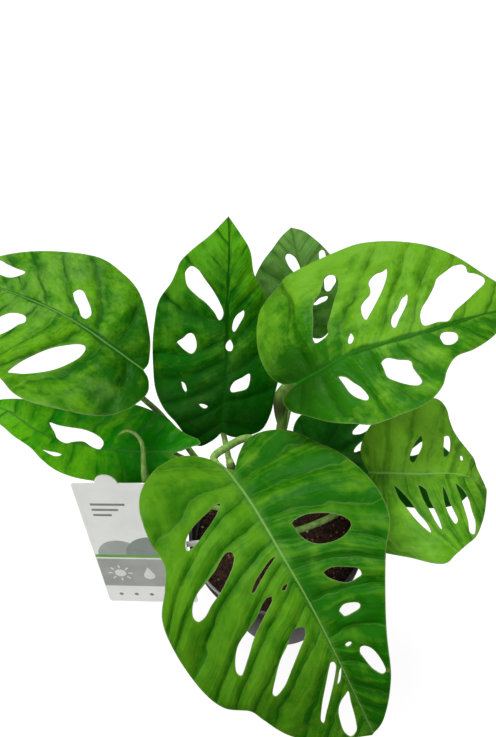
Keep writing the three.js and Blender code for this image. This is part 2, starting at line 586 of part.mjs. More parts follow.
// A stalk bends into its blade's underside at the notch of the blade and stops just short of it.
function stalkSolid({ points, radius }, leaf) {
  const { point, normal } = bladeSurface(leaf)(leaf.sinus[0] + radius, leaf.sinus[1]);
  const droop = Math.max(0, ...leaf.fold.map(([atBase]) => -Math.sin(THREE.MathUtils.degToRad(atBase))));
  const standOff = BLADE.thickness / 2 + GAP + KNEE.margin + 0.4 * droop * radius;
  const end = point.clone().addScaledVector(normal, -standOff);
  const knee = point.clone().addScaledVector(normal, -standOff - KNEE.length);
  return taperedTube([...points, knee.toArray(), end.toArray()], [radius, radius, radius, radius * KNEE.taper], 5);
}

const leafNamed = (name) => LEAVES.find((leaf) => leaf.name === name);

LEAVES.forEach((leaf) => place(`leaf_${leaf.name}`, bladeSolid(leaf, flatBlade(leaf)), MATERIALS.leaf));

Object.entries(STEMS).forEach(([name, { points, radii, stalks }]) => {
  const stem = stalks.reduce(
    (growth, stalk) => growth.add(stalkSolid(stalk, leafNamed(stalk.leaf))),
    taperedTube(points, radii),
  );
  place(name, stem, MATERIALS.stem);
});

const shootStem = STEMS[SHOOT.stem];
const shootCutter = taperedTube(shootStem.points, shootStem.radii.map((radius) => radius + GAP));
place('shoot', biggestBody(taperedTube(SHOOT.points, SHOOT.radii, 6).subtract(shootCutter)), MATERIALS.stem);

export default plant;
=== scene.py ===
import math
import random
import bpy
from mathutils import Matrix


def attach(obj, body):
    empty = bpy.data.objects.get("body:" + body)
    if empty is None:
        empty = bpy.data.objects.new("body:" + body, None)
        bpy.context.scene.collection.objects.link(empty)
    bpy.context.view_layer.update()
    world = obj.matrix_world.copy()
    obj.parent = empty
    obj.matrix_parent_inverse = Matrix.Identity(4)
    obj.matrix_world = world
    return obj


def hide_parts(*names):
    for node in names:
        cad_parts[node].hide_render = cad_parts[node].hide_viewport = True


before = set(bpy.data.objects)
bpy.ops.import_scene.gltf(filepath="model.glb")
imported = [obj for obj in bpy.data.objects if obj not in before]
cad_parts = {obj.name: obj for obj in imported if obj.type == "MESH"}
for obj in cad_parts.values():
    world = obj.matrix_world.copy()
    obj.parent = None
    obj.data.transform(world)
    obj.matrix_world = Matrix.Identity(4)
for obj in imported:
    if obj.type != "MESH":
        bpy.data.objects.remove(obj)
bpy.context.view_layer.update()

# A young Monstera adansonii in its nursery pot, with a plain plant label, on a white studio floor.
# Lengths are written in millimetres and turned into metres where a mesh is made.
from types import SimpleNamespace

import bpy
import numpy as np
from mathutils import Matrix, Vector, geometry, kdtree, noise

MM = 0.001
GAP = 0.3  # clearance between touching pieces, as in the solid model

# ---------------- sizes

# The pot, the soil, the label and its stake have the sizes of the solid model.
POT = {
    "height": 105, "rim_radius": 60, "base_radius": 40, "wall": 1.3, "floor": 1.6,
    "band_height": 13, "band_step": 1.6, "band_slope": 0.8, "inner_slope": 1.4,
    "lip_height": 3, "lip_out": 1.2, "lip_slope": 0.6, "foot_ring": 8,
    "drains": 6, "drain_radius": 4, "drain_circle": 24, "drain_sides": 24, "sides": 160,
}
# Clods and crumbs each have a width and a height.
SOIL = {
    "top_z": 93, "crown": 3, "crown_reach": 56, "sunk": 1.2, "mound": 1.5, "mound_reach": 4, "play": 0.2,
    "clods": (16.0, 1.1), "crumbs": (4.0, 1.28), "ring_step": 1.3, "sides": 200,
}
# Shares are those of soil crumbs, bark and pale grains.
CRUMBS = {
    "loose": 1500, "reach": 54, "per_stem": 60, "stem_reach": 3.5,
    "size": (0.4, 1.1), "bark_size": 1.3, "shares": [0.8, 0.18, 0.02],
}
BLADE = {"thickness": 0.6, "edge_step": 1.2, "grid_step": 1.5, "hole_step": 0.9}
# A blade's low relief: the height and the width of its ribs and groove, and the height and the size of its
# wavy forms.
RELIEF = {
    "midrib": (1.1, 1.3), "side_rib": (0.3, 0.8), "groove": (0.5, 2.2),
    "quilt": 0.3, "quilt_size": (4.4, 4.2), "puckers": 1.6, "pucker_size": 17.0,
    "ripple": 0.7, "ripple_size": 9.0,
}
KNEE = {"length": 2.5, "margin": 0.25, "taper": 0.8}  # where a leaf stalk bends into its blade
LABEL = {
    "corner": (-124.5, -14, 52), "width_axis": (0.99, -0.13, 0), "lean_degrees": 9,
    "width": 64, "height": 124, "thickness": 0.8, "corner_radius": 2, "tab_radius": 7, "tab_at": 22,
    "ink_layer": 0.03, "ink_gap": 0.01,
}
STAKE = {
    "arm_z": 109, "arm_height": 5, "arm_from": -78, "leg_x": -49.5, "leg_width": 5, "foot_z": 85, "point": 4,
    "thickness": 1.6, "inner_round": 2, "outer_round": 1.5, "edge_round": 0.3,
}

# Each blade is drawn flat and then bent. In the flat drawing u runs along the midrib from the stalk to the
# tip, and v to the leaf's own left, seen from above. Midrib is the curve in space that carries the blade.
# Side is the direction of the left half at the base and at the tip. Fold is the slope in degrees at which
# the left and the right half leave the midrib, and curl how many degrees per millimetre each half bends
# from there, both at the base and at the tip. Sinus is the notch where the stalk meets the blade. A hole is
# its outline, or a slender egg given by its inner end, its outer end and its width.
LEAVES = {
    "front": {
        "midrib": [[-27, -23, 218], [-14, -50, 222], [-1, -78, 216], [10, -98, 202], [19, -114, 184],
            [26, -124, 164], [34, -134, 138]],
        "side": [[0.95, 0, -0.18], [0.97, -0.1, 0]], "fold": [[8, 12], [0, 0]],
        "curl": [[0.15, 0.15], [0.2, 0.3]], "sinus": [9, 3], "tip": [171, -1],
        "left": [[-2, 12], [-9, 21], [-9, 32], [-1, 43], [20, 49], [45, 54], [62, 54], [72, 51], [80, 43],
            [95, 33], [110, 26], [130, 20], [150, 12], [162, 6]],
        "right": [[-7, -7], [-12, -18], [-7, -32], [4, -44], [18, -52], [32, -53], [43, -51], [51, -55],
            [59, -61], [72, -62], [97, -60], [110, -56], [122, -48], [135, -45], [152, -39], [164, -28],
            [169, -15]],
        "holes": [
            [[26, -14], [29.5, -17], [33.5, -22.5], [36, -27], [39.5, -33], [41, -37.5], [41, -39],
             [37.5, -38], [33.5, -33.5], [30.5, -27.5], [28, -21], [26, -16.5]],
            [[49, -20.5], [51, -20], [54.5, -22.5], [57.5, -26.5], [61, -32.5], [63.5, -39], [66, -44],
             [66, -47.5], [63.5, -48.5], [60, -46.5], [57.5, -43], [55.5, -37.5], [53, -31], [50, -26],
             [48.5, -22.5]],
            [[60, -3], [63, -9], [66, -15], [68.5, -20], [68, -20.5], [65, -17], [62, -10.5], [60, -5]],
            [[74, -13.5], [76, -14.5], [79.5, -20], [86, -29], [94.5, -37], [99.5, -42.5], [97, -43.5],
             [91, -41.5], [85, -37], [81.5, -30.5], [78.5, -24], [74.5, -18.5], [73.5, -15.5]],
            [[94, -7.5], [97.5, -8.5], [102.5, -13.5], [109.5, -20.5], [119, -29.5], [121.5, -34],
             [118.5, -34.5], [110, -29.5], [102.5, -23.5], [98, -18], [93, -12.5], [93, -9.5]],
            [[73, -4.5], [74.5, -6], [75, -7.5], [74, -8], [73, -6.5]],
            [[116, -2.5], [118.5, -2.3], [121, -3.4], [125, -5.4], [134, -10.2], [145, -16.2], [153, -20.5],
             [151, -21], [140, -17], [128, -11], [118, -5.5], [115.5, -3.5]],
            [[120.5, -0.6], [123, -1.4], [128.5, -4.2], [129.5, -5.6], [125, -3.5], [121.5, -1.6]],
            [[135.5, -2.5], [143, -3.5], [158, -5.5], [165.5, -7.5], [168.5, -11], [165, -13], [155, -12.5],
             [146, -10.5], [140, -7]],
            [[51, 11.5], [50.5, 18], [54, 26], [59.5, 32.5], [64, 35], [66, 34.5], [68, 29.5], [67.5, 22.5],
             [64.5, 16], [59.5, 12.5], [54, 11.5]],
            [[77, 12.5], [76.5, 16.5], [79, 22.5], [82, 27.5], [84.5, 27.5], [85, 25], [85, 20], [82, 15.5],
             [79, 13]],
            [[94.5, 10.5], [92.5, 13.5], [93, 17.5], [94.5, 20.5], [96, 20], [97, 16], [97, 11.5]],
            [[109.5, 6], [108.5, 8], [109, 9.5], [110, 8.5], [110.5, 6.5]],
            [[112.5, 12], [112, 14], [114, 17], [119.5, 19], [125.5, 19], [127, 17], [123.5, 13.5],
             [117, 11.5], [114.5, 11]],
        ],
    },
    "right": {
        "midrib": [[51, -26, 199], [60, -33, 207], [74, -38, 211], [90, -39, 210], [100, -39, 205],
            [109, -39, 195]],
        "side": [[0, 1, 0], [0, 1, 0.1]], "fold": [[3, 3], [0, 0]], "curl": [[0, 0], [-0.12, -0.12]],
        "sinus": [0, 0], "tip": [76, 0],
        "left": [[-6, 7], [-9, 14], [-7, 23], [0, 32], [10, 38], [27, 45], [45, 48], [51, 47], [54, 42],
            [54, 34], [55, 27], [58, 22], [63, 19], [69, 16], [70, 10], [73, 5]],
        "right": [[-8, -5], [-10, -14], [-5, -27], [6, -37], [17, -42], [25, -44], [34, -47], [38, -43],
            [43, -39], [50, -34], [56, -27], [65, -16], [72, -6]],
        "holes": [
            [[33.5, 23], [33, 17], [29.5, 11], [26.5, 6.5], [24.5, 8], [25.5, 13.5], [29, 19.5]],
            [[47.5, 22], [50.5, 23], [50, 17.5], [47, 11], [44.5, 9.5], [45.5, 15.5]],
            [[54.5, 11.5], [56.5, 12], [56, 9.5], [54, 9]],
            [[17.5, -7], [21, -10], [25, -15.5], [28, -22], [30.5, -27], [31.5, -32], [30, -30], [27, -25],
             [23.5, -18.5], [20, -13]],
            [[28.5, -6.5], [31.5, -9], [32.5, -14.5], [34, -21], [35, -27], [35, -30.5], [33.5, -26.5],
             [32, -20.5], [30, -14]],
            [[39.5, -7.5], [40.5, -11.5], [41, -17], [42, -22], [42.5, -26], [41, -28], [39.5, -25],
             [38.5, -19.5], [38.5, -13.5]],
            [[46.5, -6], [50, -8.5], [52, -14], [52, -19.5], [52, -27], [49, -33], [47, -32.5],
             [47.5, -26.5], [47.5, -20], [47, -12.5]],
        ],
    },
    "upper_right": {
        "midrib": [[16, 4, 243], [31, 3, 254], [44, 6, 259], [69, 6, 266], [85, 8, 268], [114, 19, 264],
            [149, 34, 254]],
        "side": [[-0.1, 0.9, 0.25], [-0.1, 0.9, 0.25]], "fold": [[5, 5], [2, 2]],
        "curl": [[0, 0], [-0.11, -0.11]], "sinus": [0, 0], "tip": [147, 0],
        "left": [[-7, 3], [-13, 10], [-16, 21], [-16, 31], [-13, 42], [-8, 50], [0, 54], [14, 57], [31, 58],
            [50, 60], [68, 57], [85, 53], [100, 47], [111, 38], [123, 24], [135, 12]],
        "right": [[-6, -2], [-10, -6], [-7, -13], [2, -20], [12, -28], [19, -34], [25, -39], [37, -40],
            [50, -39], [60, -37], [68, -31], [73, -23], [79, -18], [90, -17], [104, -14], [117, -9],
            [132, -5]],
        "holes": [
            [[34.5, 44], [35.5, 47], [37.5, 47], [39, 43], [38, 37.5], [35.5, 31.5], [32.5, 24.5],
             [29.5, 19], [28, 15], [20.5, 14.5], [20, 17.5], [25, 25], [28, 32.5], [30.5, 37], [32.5, 39]],
            [[65.5, 40], [64, 36], [59, 29.5], [53.5, 23.5], [48, 17.5], [45.5, 15], [44.5, 17.5], [45, 23],
             [47, 25.5], [51, 28.5], [52, 31.5], [52, 35], [54.5, 37.5], [58.5, 39], [62.5, 39]],
            [[71.5, 22.5], [70, 19], [66.5, 15], [62, 10.5], [58.5, 6.5], [57.5, 7], [57.5, 10],
             [59.5, 13.5], [63, 16], [67.5, 21]],
            [[37, 10.5], [37.5, 7], [35.5, 5], [34.5, 5.5], [35.5, 8.5]],
            [[113, 31], [115, 29], [114.5, 25.5], [118.5, 24], [123, 20.5], [122, 18], [112.5, 13.5],
             [103, 9.5], [93.5, 6], [86.5, 2], [81, 3], [72.5, 3.5], [73, 8.5], [76, 12.5], [82, 16.5],
             [89.5, 22], [94, 26], [102, 29], [108, 31]],
            [[77, -6], [79.5, -3.5], [83.5, -4], [86.5, -6], [85.5, -9], [80.5, -11], [77, -9.5]],
            [[47, -10.5], [50, -8.5], [55, -11], [60, -13.5], [60, -17.5], [61.5, -25.5], [60, -27],
             [57, -26], [52, -22.5], [48, -18.5], [47.5, -14.5]],
            [[22.5, -8.5], [25.5, -11], [27.5, -15.5], [30.5, -20], [32.5, -26], [29.5, -27], [25.5, -24],
             [23.5, -19.5], [23, -14]],
        ],
    },
    "top": {
        "midrib": [[-29, 33, 172], [-25, 43, 192], [-20, 58, 220], [-16, 69, 251], [-12, 81, 273],
            [-10, 96, 289]],
        "side": [[-1, 0, 0], [-1, 0, 0]], "fold": [[5, 5], [-5, -5]], "curl": [[-0.3, -0.3], [-0.3, -0.3]],
        "sinus": [0, 0], "tip": [136, 0],
        "left": [[-6, 6], [-10, 14], [-4, 22], [5, 29], [14, 37], [27, 43], [42, 45], [57, 45], [73, 43],
            [86, 40], [96, 33], [103, 30], [109, 28], [117, 21], [126, 10]],
        "right": [[-3, -8], [-2, -17], [2, -26], [13, -31], [27, -33], [43, -35], [59, -33], [76, -28],
            [92, -22], [104, -15], [117, -12], [127, -6]],
        "holes": [
            [[102, 25], [105, 23.5], [106.5, 21.5], [105, 18], [99.5, 13.5], [92.5, 8], [84.5, 3.5],
             [79.5, 2], [76, 3], [75, 4.5], [79.5, 7], [85.5, 12], [90, 18], [94.5, 23], [98, 24.5]],
            [[60, 30], [63.5, 26], [66.5, 23], [66.5, 20.5], [62, 18.5], [56, 18.5], [52.5, 21], [54.5, 25],
             [57, 27.5]],
            [[81, -10], [78, -10.5], [72.5, -8], [67, -4.5], [68.5, -3.5], [74, -4], [78.5, -6.5]],
            [[62, -2], [57.5, -4], [54.5, -3], [55, -0.5], [57.5, 0.5], [60.5, -0.5]],
            [[33.5, 27], [32.5, 25], [28, 23.5], [27, 24], [29.5, 26]],
            [[19, 15.5], [19.5, 13.5], [18, 10], [16.5, 11.5], [17.5, 14]],
            [[30, -3.5], [28, -4.5], [28.5, -8.5], [30.5, -14], [35, -15.5], [40, -15], [37.5, -10.5],
             [35, -6], [32, -4]],
        ],
    },
    "left": {
        "midrib": [[-69, 43, 226], [-87, 54, 238], [-104, 67, 245], [-122, 79, 250], [-159, 107, 248],
            [-205, 143, 236]],
        "side": [[-0.1, -0.9, -0.1], [-0.1, -0.9, -0.1]], "fold": [[-3, -3], [0, 0]],
        "curl": [[0.1, 0.1], [0.1, 0.1]], "sinus": [0, 0], "tip": [175, 0],
        "left": [[-5, 3], [-10, 11], [-9, 22], [-4, 35], [5, 45], [18, 53], [30, 58], [45, 58], [65, 53],
            [85, 46], [105, 37], [130, 27], [152, 16], [166, 7]],
        "right": [[0, -5], [3, -12], [9, -22], [20, -33], [34, -41], [48, -47], [62, -49], [80, -45],
            [100, -38], [120, -31], [140, -23], [160, -11]],
        "holes": [
            [[136.5, -20], [127.5, -18.5], [118, -17.5], [107, -16.5], [110, -12.5], [115.5, -9.5],
             [125.5, -9.5], [136.5, -9.5], [151.5, -13.5], [146, -18]],
            [[65.5, -16.5], [64.5, -21], [61.5, -21.5], [56.5, -18.5], [49.5, -13], [47, -9.5],
             [47.5, -5.5], [50.5, -5.5], [55.5, -9.5], [61.5, -13]],
            [[96, 18], [92.5, 14], [85.5, 11.5], [78.5, 12], [76, 15.5], [78.5, 18.5], [80.5, 24], [84, 29],
             [89.5, 32.5], [96.5, 31], [99, 24.5]],
            [[56.5, 50], [56.5, 42], [53.5, 33], [49, 24], [42.5, 16], [38, 11.5], [34.5, 10], [32.5, 11.5],
             [31, 17.5], [32, 24.5], [35, 33], [40, 39.5], [49, 46.5]],
            [112, 8, 126, 22, 7],
        ],
    },
    "low_left": {
        "midrib": [[-59, 14, 183], [-80, 21, 177], [-108, 34, 169], [-149, 53, 166], [-179, 79, 164],
            [-205, 96, 157]],
        "side": [[0.1, -0.95, -0.1], [0.1, -0.95, -0.2]], "fold": [[-36, -8], [-8, -8]],
        "curl": [[-0.3, -0.3], [-0.15, -0.15]], "sinus": [0, 2], "tip": [172, 0],
        "left": [[-7, 5], [-8, 10], [0, 15], [14, 18], [34, 21], [52, 22], [71, 22], [84, 20], [95, 16],
            [105, 12], [125, 12], [145, 10], [160, 5]],
        "right": [[-12, -3], [-18, -5], [-16, -8], [-7, -12], [1, -17], [14, -27], [30, -32], [50, -36],
            [67, -36], [91, -33], [117, -22], [136, -12], [155, -5]],
        "holes": [
            [[102, -9], [93.5, -9.5], [83, -10.5], [74, -11], [65, -9.5], [56, -5.5], [53.5, -2.5],
             [54.5, 1], [60, 1], [68.5, -2], [75.5, -0.5], [80, 1.5], [87, 0.5], [93, -4]],
            [[96, 10], [90.5, 9.5], [85, 9], [81.5, 9.5], [86, 11.5], [91, 11]],
        ],
    },
    "back": {
        "midrib": [[35, 99, 194], [34, 101, 212], [32, 107, 238], [28, 116, 264]],
        "side": [[-1, 0, 0], [-1, 0, 0]], "fold": [[0, 0], [0, 0]], "curl": [[-0.3, -0.3], [-0.3, -0.3]],
        "sinus": [0, 0], "tip": [73, 0],
        "left": [[-5, 9], [-4, 17], [3, 25], [15, 30], [30, 32], [44, 30], [55, 23], [63, 14], [69, 7]],
        "right": [[-9, -3], [-11, -10], [-4, -17], [10, -23], [27, -25], [42, -24], [53, -19], [62, -13],
            [69, -7]],
        "holes": [
            [41, 1, 57, 6, 6.5],
            [45, -15, 54, -16, 4.5],
            [26, -16, 37, -20, 8],
            [18, -6, 22, -16, 4],
        ],
    },
    "inner": {
        "midrib": [[31, 22, 155], [49, 8, 166], [76, -5, 172], [99, -13, 168], [122, -12, 155]],
        "side": [[0, 1, 0.1], [0, 1, 0.1]], "fold": [[0, 0], [0, 0]], "curl": [[-0.3, -0.3], [-0.3, -0.3]],
        "sinus": [0, 0], "tip": [108, 0],
        "left": [[-9, 3], [-20, 6], [-27, 14], [-26, 24], [-14, 33], [10, 36], [38, 38], [60, 37], [80, 31],
            [100, 14]],
        "right": [[-8, -3], [-20, -6], [-25, -13], [-17, -20], [2, -23], [24, -23], [43, -25], [62, -26],
            [80, -21], [96, -11]],
        "holes": [
            [22, 16, 33, 27, 8],
            [27, 4, 33, 12, 5],
            [60, 8, 74, 23, 7],
        ],
    },
}

# How each blade looks, in the order of LEAVES: front, right, upper_right, top, left, low_left, back, inner.
LOOKS = {
    # the light green of its field
    "lit": [(0.095, 0.285, 0.008), (0.165, 0.42, 0.02), (0.15, 0.39, 0.016), (0.095, 0.37, 0.004),
        (0.118, 0.345, 0.006), (0.13, 0.48, 0.004), (0.28, 0.58, 0.13), (0.012, 0.15, 0.003)],
    # the deep green of its field
    "deep": [(0.01, 0.125, 0.0006), (0.035, 0.18, 0.003), (0.02, 0.155, 0.002), (0.005, 0.14, 0.001),
        (0.01, 0.125, 0.001), (0.008, 0.26, 0.001), (0.08, 0.3, 0.03), (0.002, 0.06, 0.001)],
    # how dark the net of small veins is, and how strong the painted shade is in the side veins' grooves
    "veins": [0.25, 0.45, 0.5, 0.8, 0.9, 0.8, 0.4, 0.5],
    # how strong the painted shade is in the band along the midrib's groove
    "beside": [0.3, 0.1, 0.85, 0.9, 0.9, 0.5, 0.4, 0.4],
    # the midrib's colour and strength; the dark midribs of the upper right and the top blade are painted
    # shade in their groove
    "rib": [((0.2, 0.42, 0.08), 0.7), ((0.28, 0.58, 0.1), 0.6), ((0.01, 0.16, 0.003), 0.85),
        ((0.004, 0.09, 0.001), 0.8), ((0.12, 0.34, 0.06), 0.7), ((0.05, 0.25, 0.02), 0.5),
        ((0.08, 0.28, 0.03), 0.6), ((0.03, 0.14, 0.01), 0.4)],
    # how much painted shade darkens the blade round its stalk, and how far that reaches
    "base": [(0.0, 30), (0.0, 30), (0.85, 34), (1.0, 75), (0.5, 45), (0.6, 60), (0.3, 30), (0.5, 40)],
    # how much painted shade lies on the left and the right half; below zero it is painted light
    "painted_half_shading": [(0.6, 0.0), (-0.35, 0.2), (-0.2, 0.55), (0.05, 0.0), (-0.05, 0.1), (0.05, 0.2), (0.0, 0.0),
        (0.0, 0.0)],
    # how much painted shade lies on the tip; below zero it is painted light
    "tip": [0.35, 0.25, 0.0, -0.15, 0.0, -0.3, 0.0, 0.0],
    # how strong the patches of lit and deep green are
    "mosaic": [0.55, 0.7, 0.9, 1.0, 1.1, 1.0, 0.8, 1.0],
    # how strong the painted light and shade are across each pleat between two side veins
    "painted_pleat_shading": [0.5, 0.4, 0.3, 0.5, 0.4, 0.45, 0.3, 0.4],
    # how strong the fine creases are on the left and the right half, in relief and in painted light and shade
    "folds": [(1.7, 0.7), (1.8, 1.2), (1.0, 1.2), (1.0, 1.0), (0.8, 0.6), (1.0, 1.0), (0.6, 0.6),
        (1.0, 1.0)],
    # how far apart the side veins are
    "gap": [14, 12, 17, 16, 18, 16, 11, 13],
    # how strongly the side veins bend towards the tip
    "bend": [0.006, 0.004, 0.006, 0.007, 0.009, 0.006, 0.004, 0.004],
    # how strong the painted sheen is in soft patches
    "painted_sheen": [0.06, 0.1, 0.12, 0.1, 0.3, 0.2, 0.2, 0.0],
    # how far the pleats rise on the left and the right half
    "pleat": [(3.6, 2.2), (1.6, 1.4), (1.9, 2.2), (2.2, 2.2), (2.3, 2.3), (1.8, 1.8), (1.4, 1.4),
        (1.5, 1.5)],
    # how far the blade puckers
    "pucker": [0.5, 1.0, 1.0, 1.0, 1.2, 1.0, 0.7, 0.7],
}
LEAF_LOOKS = {leaf: {key: row[i] for key, row in LOOKS.items()} for i, leaf in enumerate(LEAVES)}

# Points and radii of each stem and of the leaf stalks that grow from it, from the soil up.
STEMS = {
    "stem_front": {
        "points": [[-4, -8, 84.5], [-4, -8, 91], [-4, -8, 98], [-3, -2, 122], [-4, 4, 150]],
        "radii": [3, 3, 3, 2.7, 2.2],
        "stalks": [
            {"leaf": "front", "radius": 2.3,
             "points": [[-3.8, 2, 143], [-5, 7, 165], [-5, 9, 184], [-12, 8, 196], [-24, -2, 203],
                        [-32, -10, 205]]},
            {"leaf": "right", "radius": 2,
             "points": [[-3.8, -6, 108], [4, -13, 120], [14, -18, 131], [34, -22, 151], [46, -25, 175]]},
        ],
    },
    "stem_right": {
        "points": [[6, 34, 84.5], [6, 34, 91], [6, 34, 98], [8, 38, 125], [9, 42, 150], [12, 41, 178],
                   [14, 38, 197]],
        "radii": [3.4, 3.4, 3.4, 3.1, 3.4, 2.8, 2.4],
        "sheath": {
            "points": [[10, 42.5, 160], [9.5, 42, 172], [10, 41, 184], [11.5, 39, 197], [13, 36.5, 206]],
            "radii": [2.4, 3.3, 3.9, 3.9, 2.2],
        },
        "stalks": [
            {"leaf": "upper_right", "radius": 2.2,
             "points": [[13, 39.5, 188], [15, 36, 203], [18, 22, 224]]},
            {"leaf": "back", "radius": 1.8,
             "points": [[9, 42, 142], [18, 62, 158], [30, 90, 174], [35, 105, 186]]},
            {"leaf": "inner", "radius": 1.8,
             "points": [[8, 37.5, 116], [14, 33, 132], [24, 26, 143]]},
        ],
    },
    "stem_left": {
        "points": [[-22, 14, 84.5], [-22, 14, 91], [-22, 14, 98], [-24, 18, 128], [-26, 21, 158]],
        "radii": [3.2, 3.2, 3.2, 2.9, 2.4],
        "stalks": [
            {"leaf": "top", "radius": 1.9,
             "points": [[-26, 21, 150], [-27, 27, 160], [-28, 34, 166]]},
            {"leaf": "low_left", "radius": 1.9,
             "points": [[-24.5, 19, 138], [-36, 17, 160], [-51, 14, 173]]},
        ],
    },
    "stem_back": {
        "points": [[-34, 32, 84.5], [-34, 32, 91], [-34, 32, 99], [-44, 41, 116]],
        "radii": [2.2, 2.2, 2.2, 2.1],
        "stalks": [
            {"leaf": "left", "radius": 2,
             "points": [[-41, 38, 111], [-52, 49, 128], [-71, 65, 158], [-80, 60, 186], [-77, 47, 212]]},
        ],
    },
}

# The rolled leaf and the stalk below it.
SHOOT = {
    "points": [[-4, -4, 116], [-22, -6, 136], [-45, -3, 148], [-64, 0, 154], [-74, 2, 161], [-77, 4, 170],
               [-76, 8, 182], [-75, 14, 193], [-78, 18, 198], [-83, 20, 200], [-89, 21, 196]],
    "radii": [1.6, 1.6, 1.6, 1.7, 2.1, 2.7, 2.9, 2.5, 1.9, 1.3, 0.6],
}
# Swollen joints: how far up, as a share of the length, how long and how high.
STEM_JOINTS = [(0.35, 2.2, 0.45), (0.62, 2.0, 0.4), (0.93, 1.8, 0.4)]
SHEATH_JOINTS = [(0.55, 12.0, 0.5)]

# ---------------- curves and meshes


def unit(vector):
    vector = np.asarray(vector, float)
    return vector / np.linalg.norm(vector, axis=-1, keepdims=True)


def smooth_run(points, per_span=12):
    """Centripetal Catmull-Rom curve through the points, with its ends continued straight."""
    p = np.asarray(points, float)
    p = np.vstack([2 * p[0] - p[1], p, 2 * p[-1] - p[-2]])
    samples = []
    for a, b, c, d in zip(p[:-3], p[1:-2], p[2:-1], p[3:]):
        t1 = max(np.linalg.norm(b - a), 1e-9) ** 0.5
        t2 = t1 + max(np.linalg.norm(c - b), 1e-9) ** 0.5
        t3 = t2 + max(np.linalg.norm(d - c), 1e-9) ** 0.5
        t = np.linspace(t1, t2, per_span, endpoint=False)[:, None]
        ab = (t1 - t) / t1 * a + t / t1 * b
        bc = (t2 - t) / (t2 - t1) * b + (t - t1) / (t2 - t1) * c
        cd = (t3 - t) / (t3 - t2) * c + (t - t2) / (t3 - t2) * d
        first = (t2 - t) / t2 * ab + t / t2 * bc
        second = (t3 - t) / (t3 - t1) * bc + (t - t1) / (t3 - t1) * cd
        samples.append((t2 - t) / (t2 - t1) * first + (t - t1) / (t2 - t1) * second)
    return np.vstack([*samples, p[-2:-1]])


def reach_along(run):
    """How far along the run each of its points is."""
    return np.concatenate([[0], np.cumsum(np.linalg.norm(np.diff(run, axis=0), axis=1))])


def along_run(places, reach, run):
    """The run's points at the given places."""
    return np.stack([np.interp(places, reach, run[:, k]) for k in range(run.shape[1])], axis=-1)


def spaced(run, step):
    """The same run with its points about a step apart."""
    reach = reach_along(run)
    places = np.linspace(0, reach[-1], max(3, round(reach[-1] / step)) + 1)
    return along_run(places, reach, run)


def circle(sides):
    """The angles of the corners of a regular ring."""
    return 2 * np.pi * np.arange(sides) / sides


def band(first, second, sides, flipped=False):
    """Faces between two rings of points, given by the numbers of their first points."""
    faces = []
    for k in range(sides):
        n = (k + 1) % sides
        if flipped:
            faces.append((first + k, second + k, second + n, first + n))
        else:
            faces.append((first + k, first + n, second + n, second + k))
    return faces


def joined(parts):
    """Several lists of points and faces as one."""
    corners, faces, first = [], [], 0
    for points, loops in parts:
        corners.append(points)
        faces += [tuple(i + first for i in loop) for loop in loops]
        first += len(points)
    return np.vstack(corners), faces


def make_piece(name, points, faces, materials, slot, node=None, material_of=None, smooth=True):
    """A piece of the object from points in millimetres. It replaces a node of the frame, if one is given."""
    mesh = bpy.data.meshes.new(name)
    mesh.from_pydata([tuple(p) for p in np.asarray(points) * MM], [], faces)
    for material in materials:
        mesh.materials.append(material)
    if material_of is not None:
        mesh.polygons.foreach_set("material_index", material_of)
    mesh.polygons.foreach_set("use_smooth", [smooth] * len(mesh.polygons))
    mesh.update()
    piece = bpy.data.objects.new(name, mesh)
    bpy.context.scene.collection.objects.link(piece)
    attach(piece, "root")
    if node is not None:
        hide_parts(node)
    return piece


def add_numbers(piece, name, values):
    """Keeps a number, or three, for every point of the mesh, for its material to read."""
    values = np.asarray(values, np.float32)
    kind, field = ("FLOAT", "value") if values.ndim == 1 else ("FLOAT_VECTOR", "vector")
    piece.data.attributes.new(name, kind, "POINT").data.foreach_set(field, values.ravel())


def fractal(points, size, seed=0, octaves=3):
    """Smooth noise from -1 to 1 at each point, with features of the given size in millimetres."""
    shift = Vector((seed * 17.3, seed * -9.1, seed * 5.7))
    return np.array([noise.fractal(Vector(p) / size + shift, 1.0, 2.0, octaves) for p in points])


# ---------------- materials


class Nodes:
    """The shader nodes of a material or of the world, added one by one."""

    def __init__(self, data):
        data.use_nodes = True
        self.data = data
        self.tree = data.node_tree

    def feed(self, socket, value):
        """Links another node's output to the socket, or sets its value."""
        if isinstance(value, bpy.types.NodeSocket):
            self.tree.links.new(value, socket)
        elif hasattr(socket, "default_value"):
            if isinstance(value, (tuple, list)) and len(value) == 3 and len(socket.default_value) == 4:
                value = (*value, 1)
            socket.default_value = value

    def node(self, kind, inputs=None, **settings):
        made = self.tree.nodes.new(kind)
        for key, value in settings.items():
            setattr(made, key, value)
        for key, value in (inputs or {}).items():
            self.feed(made.inputs[key], value)
        return made


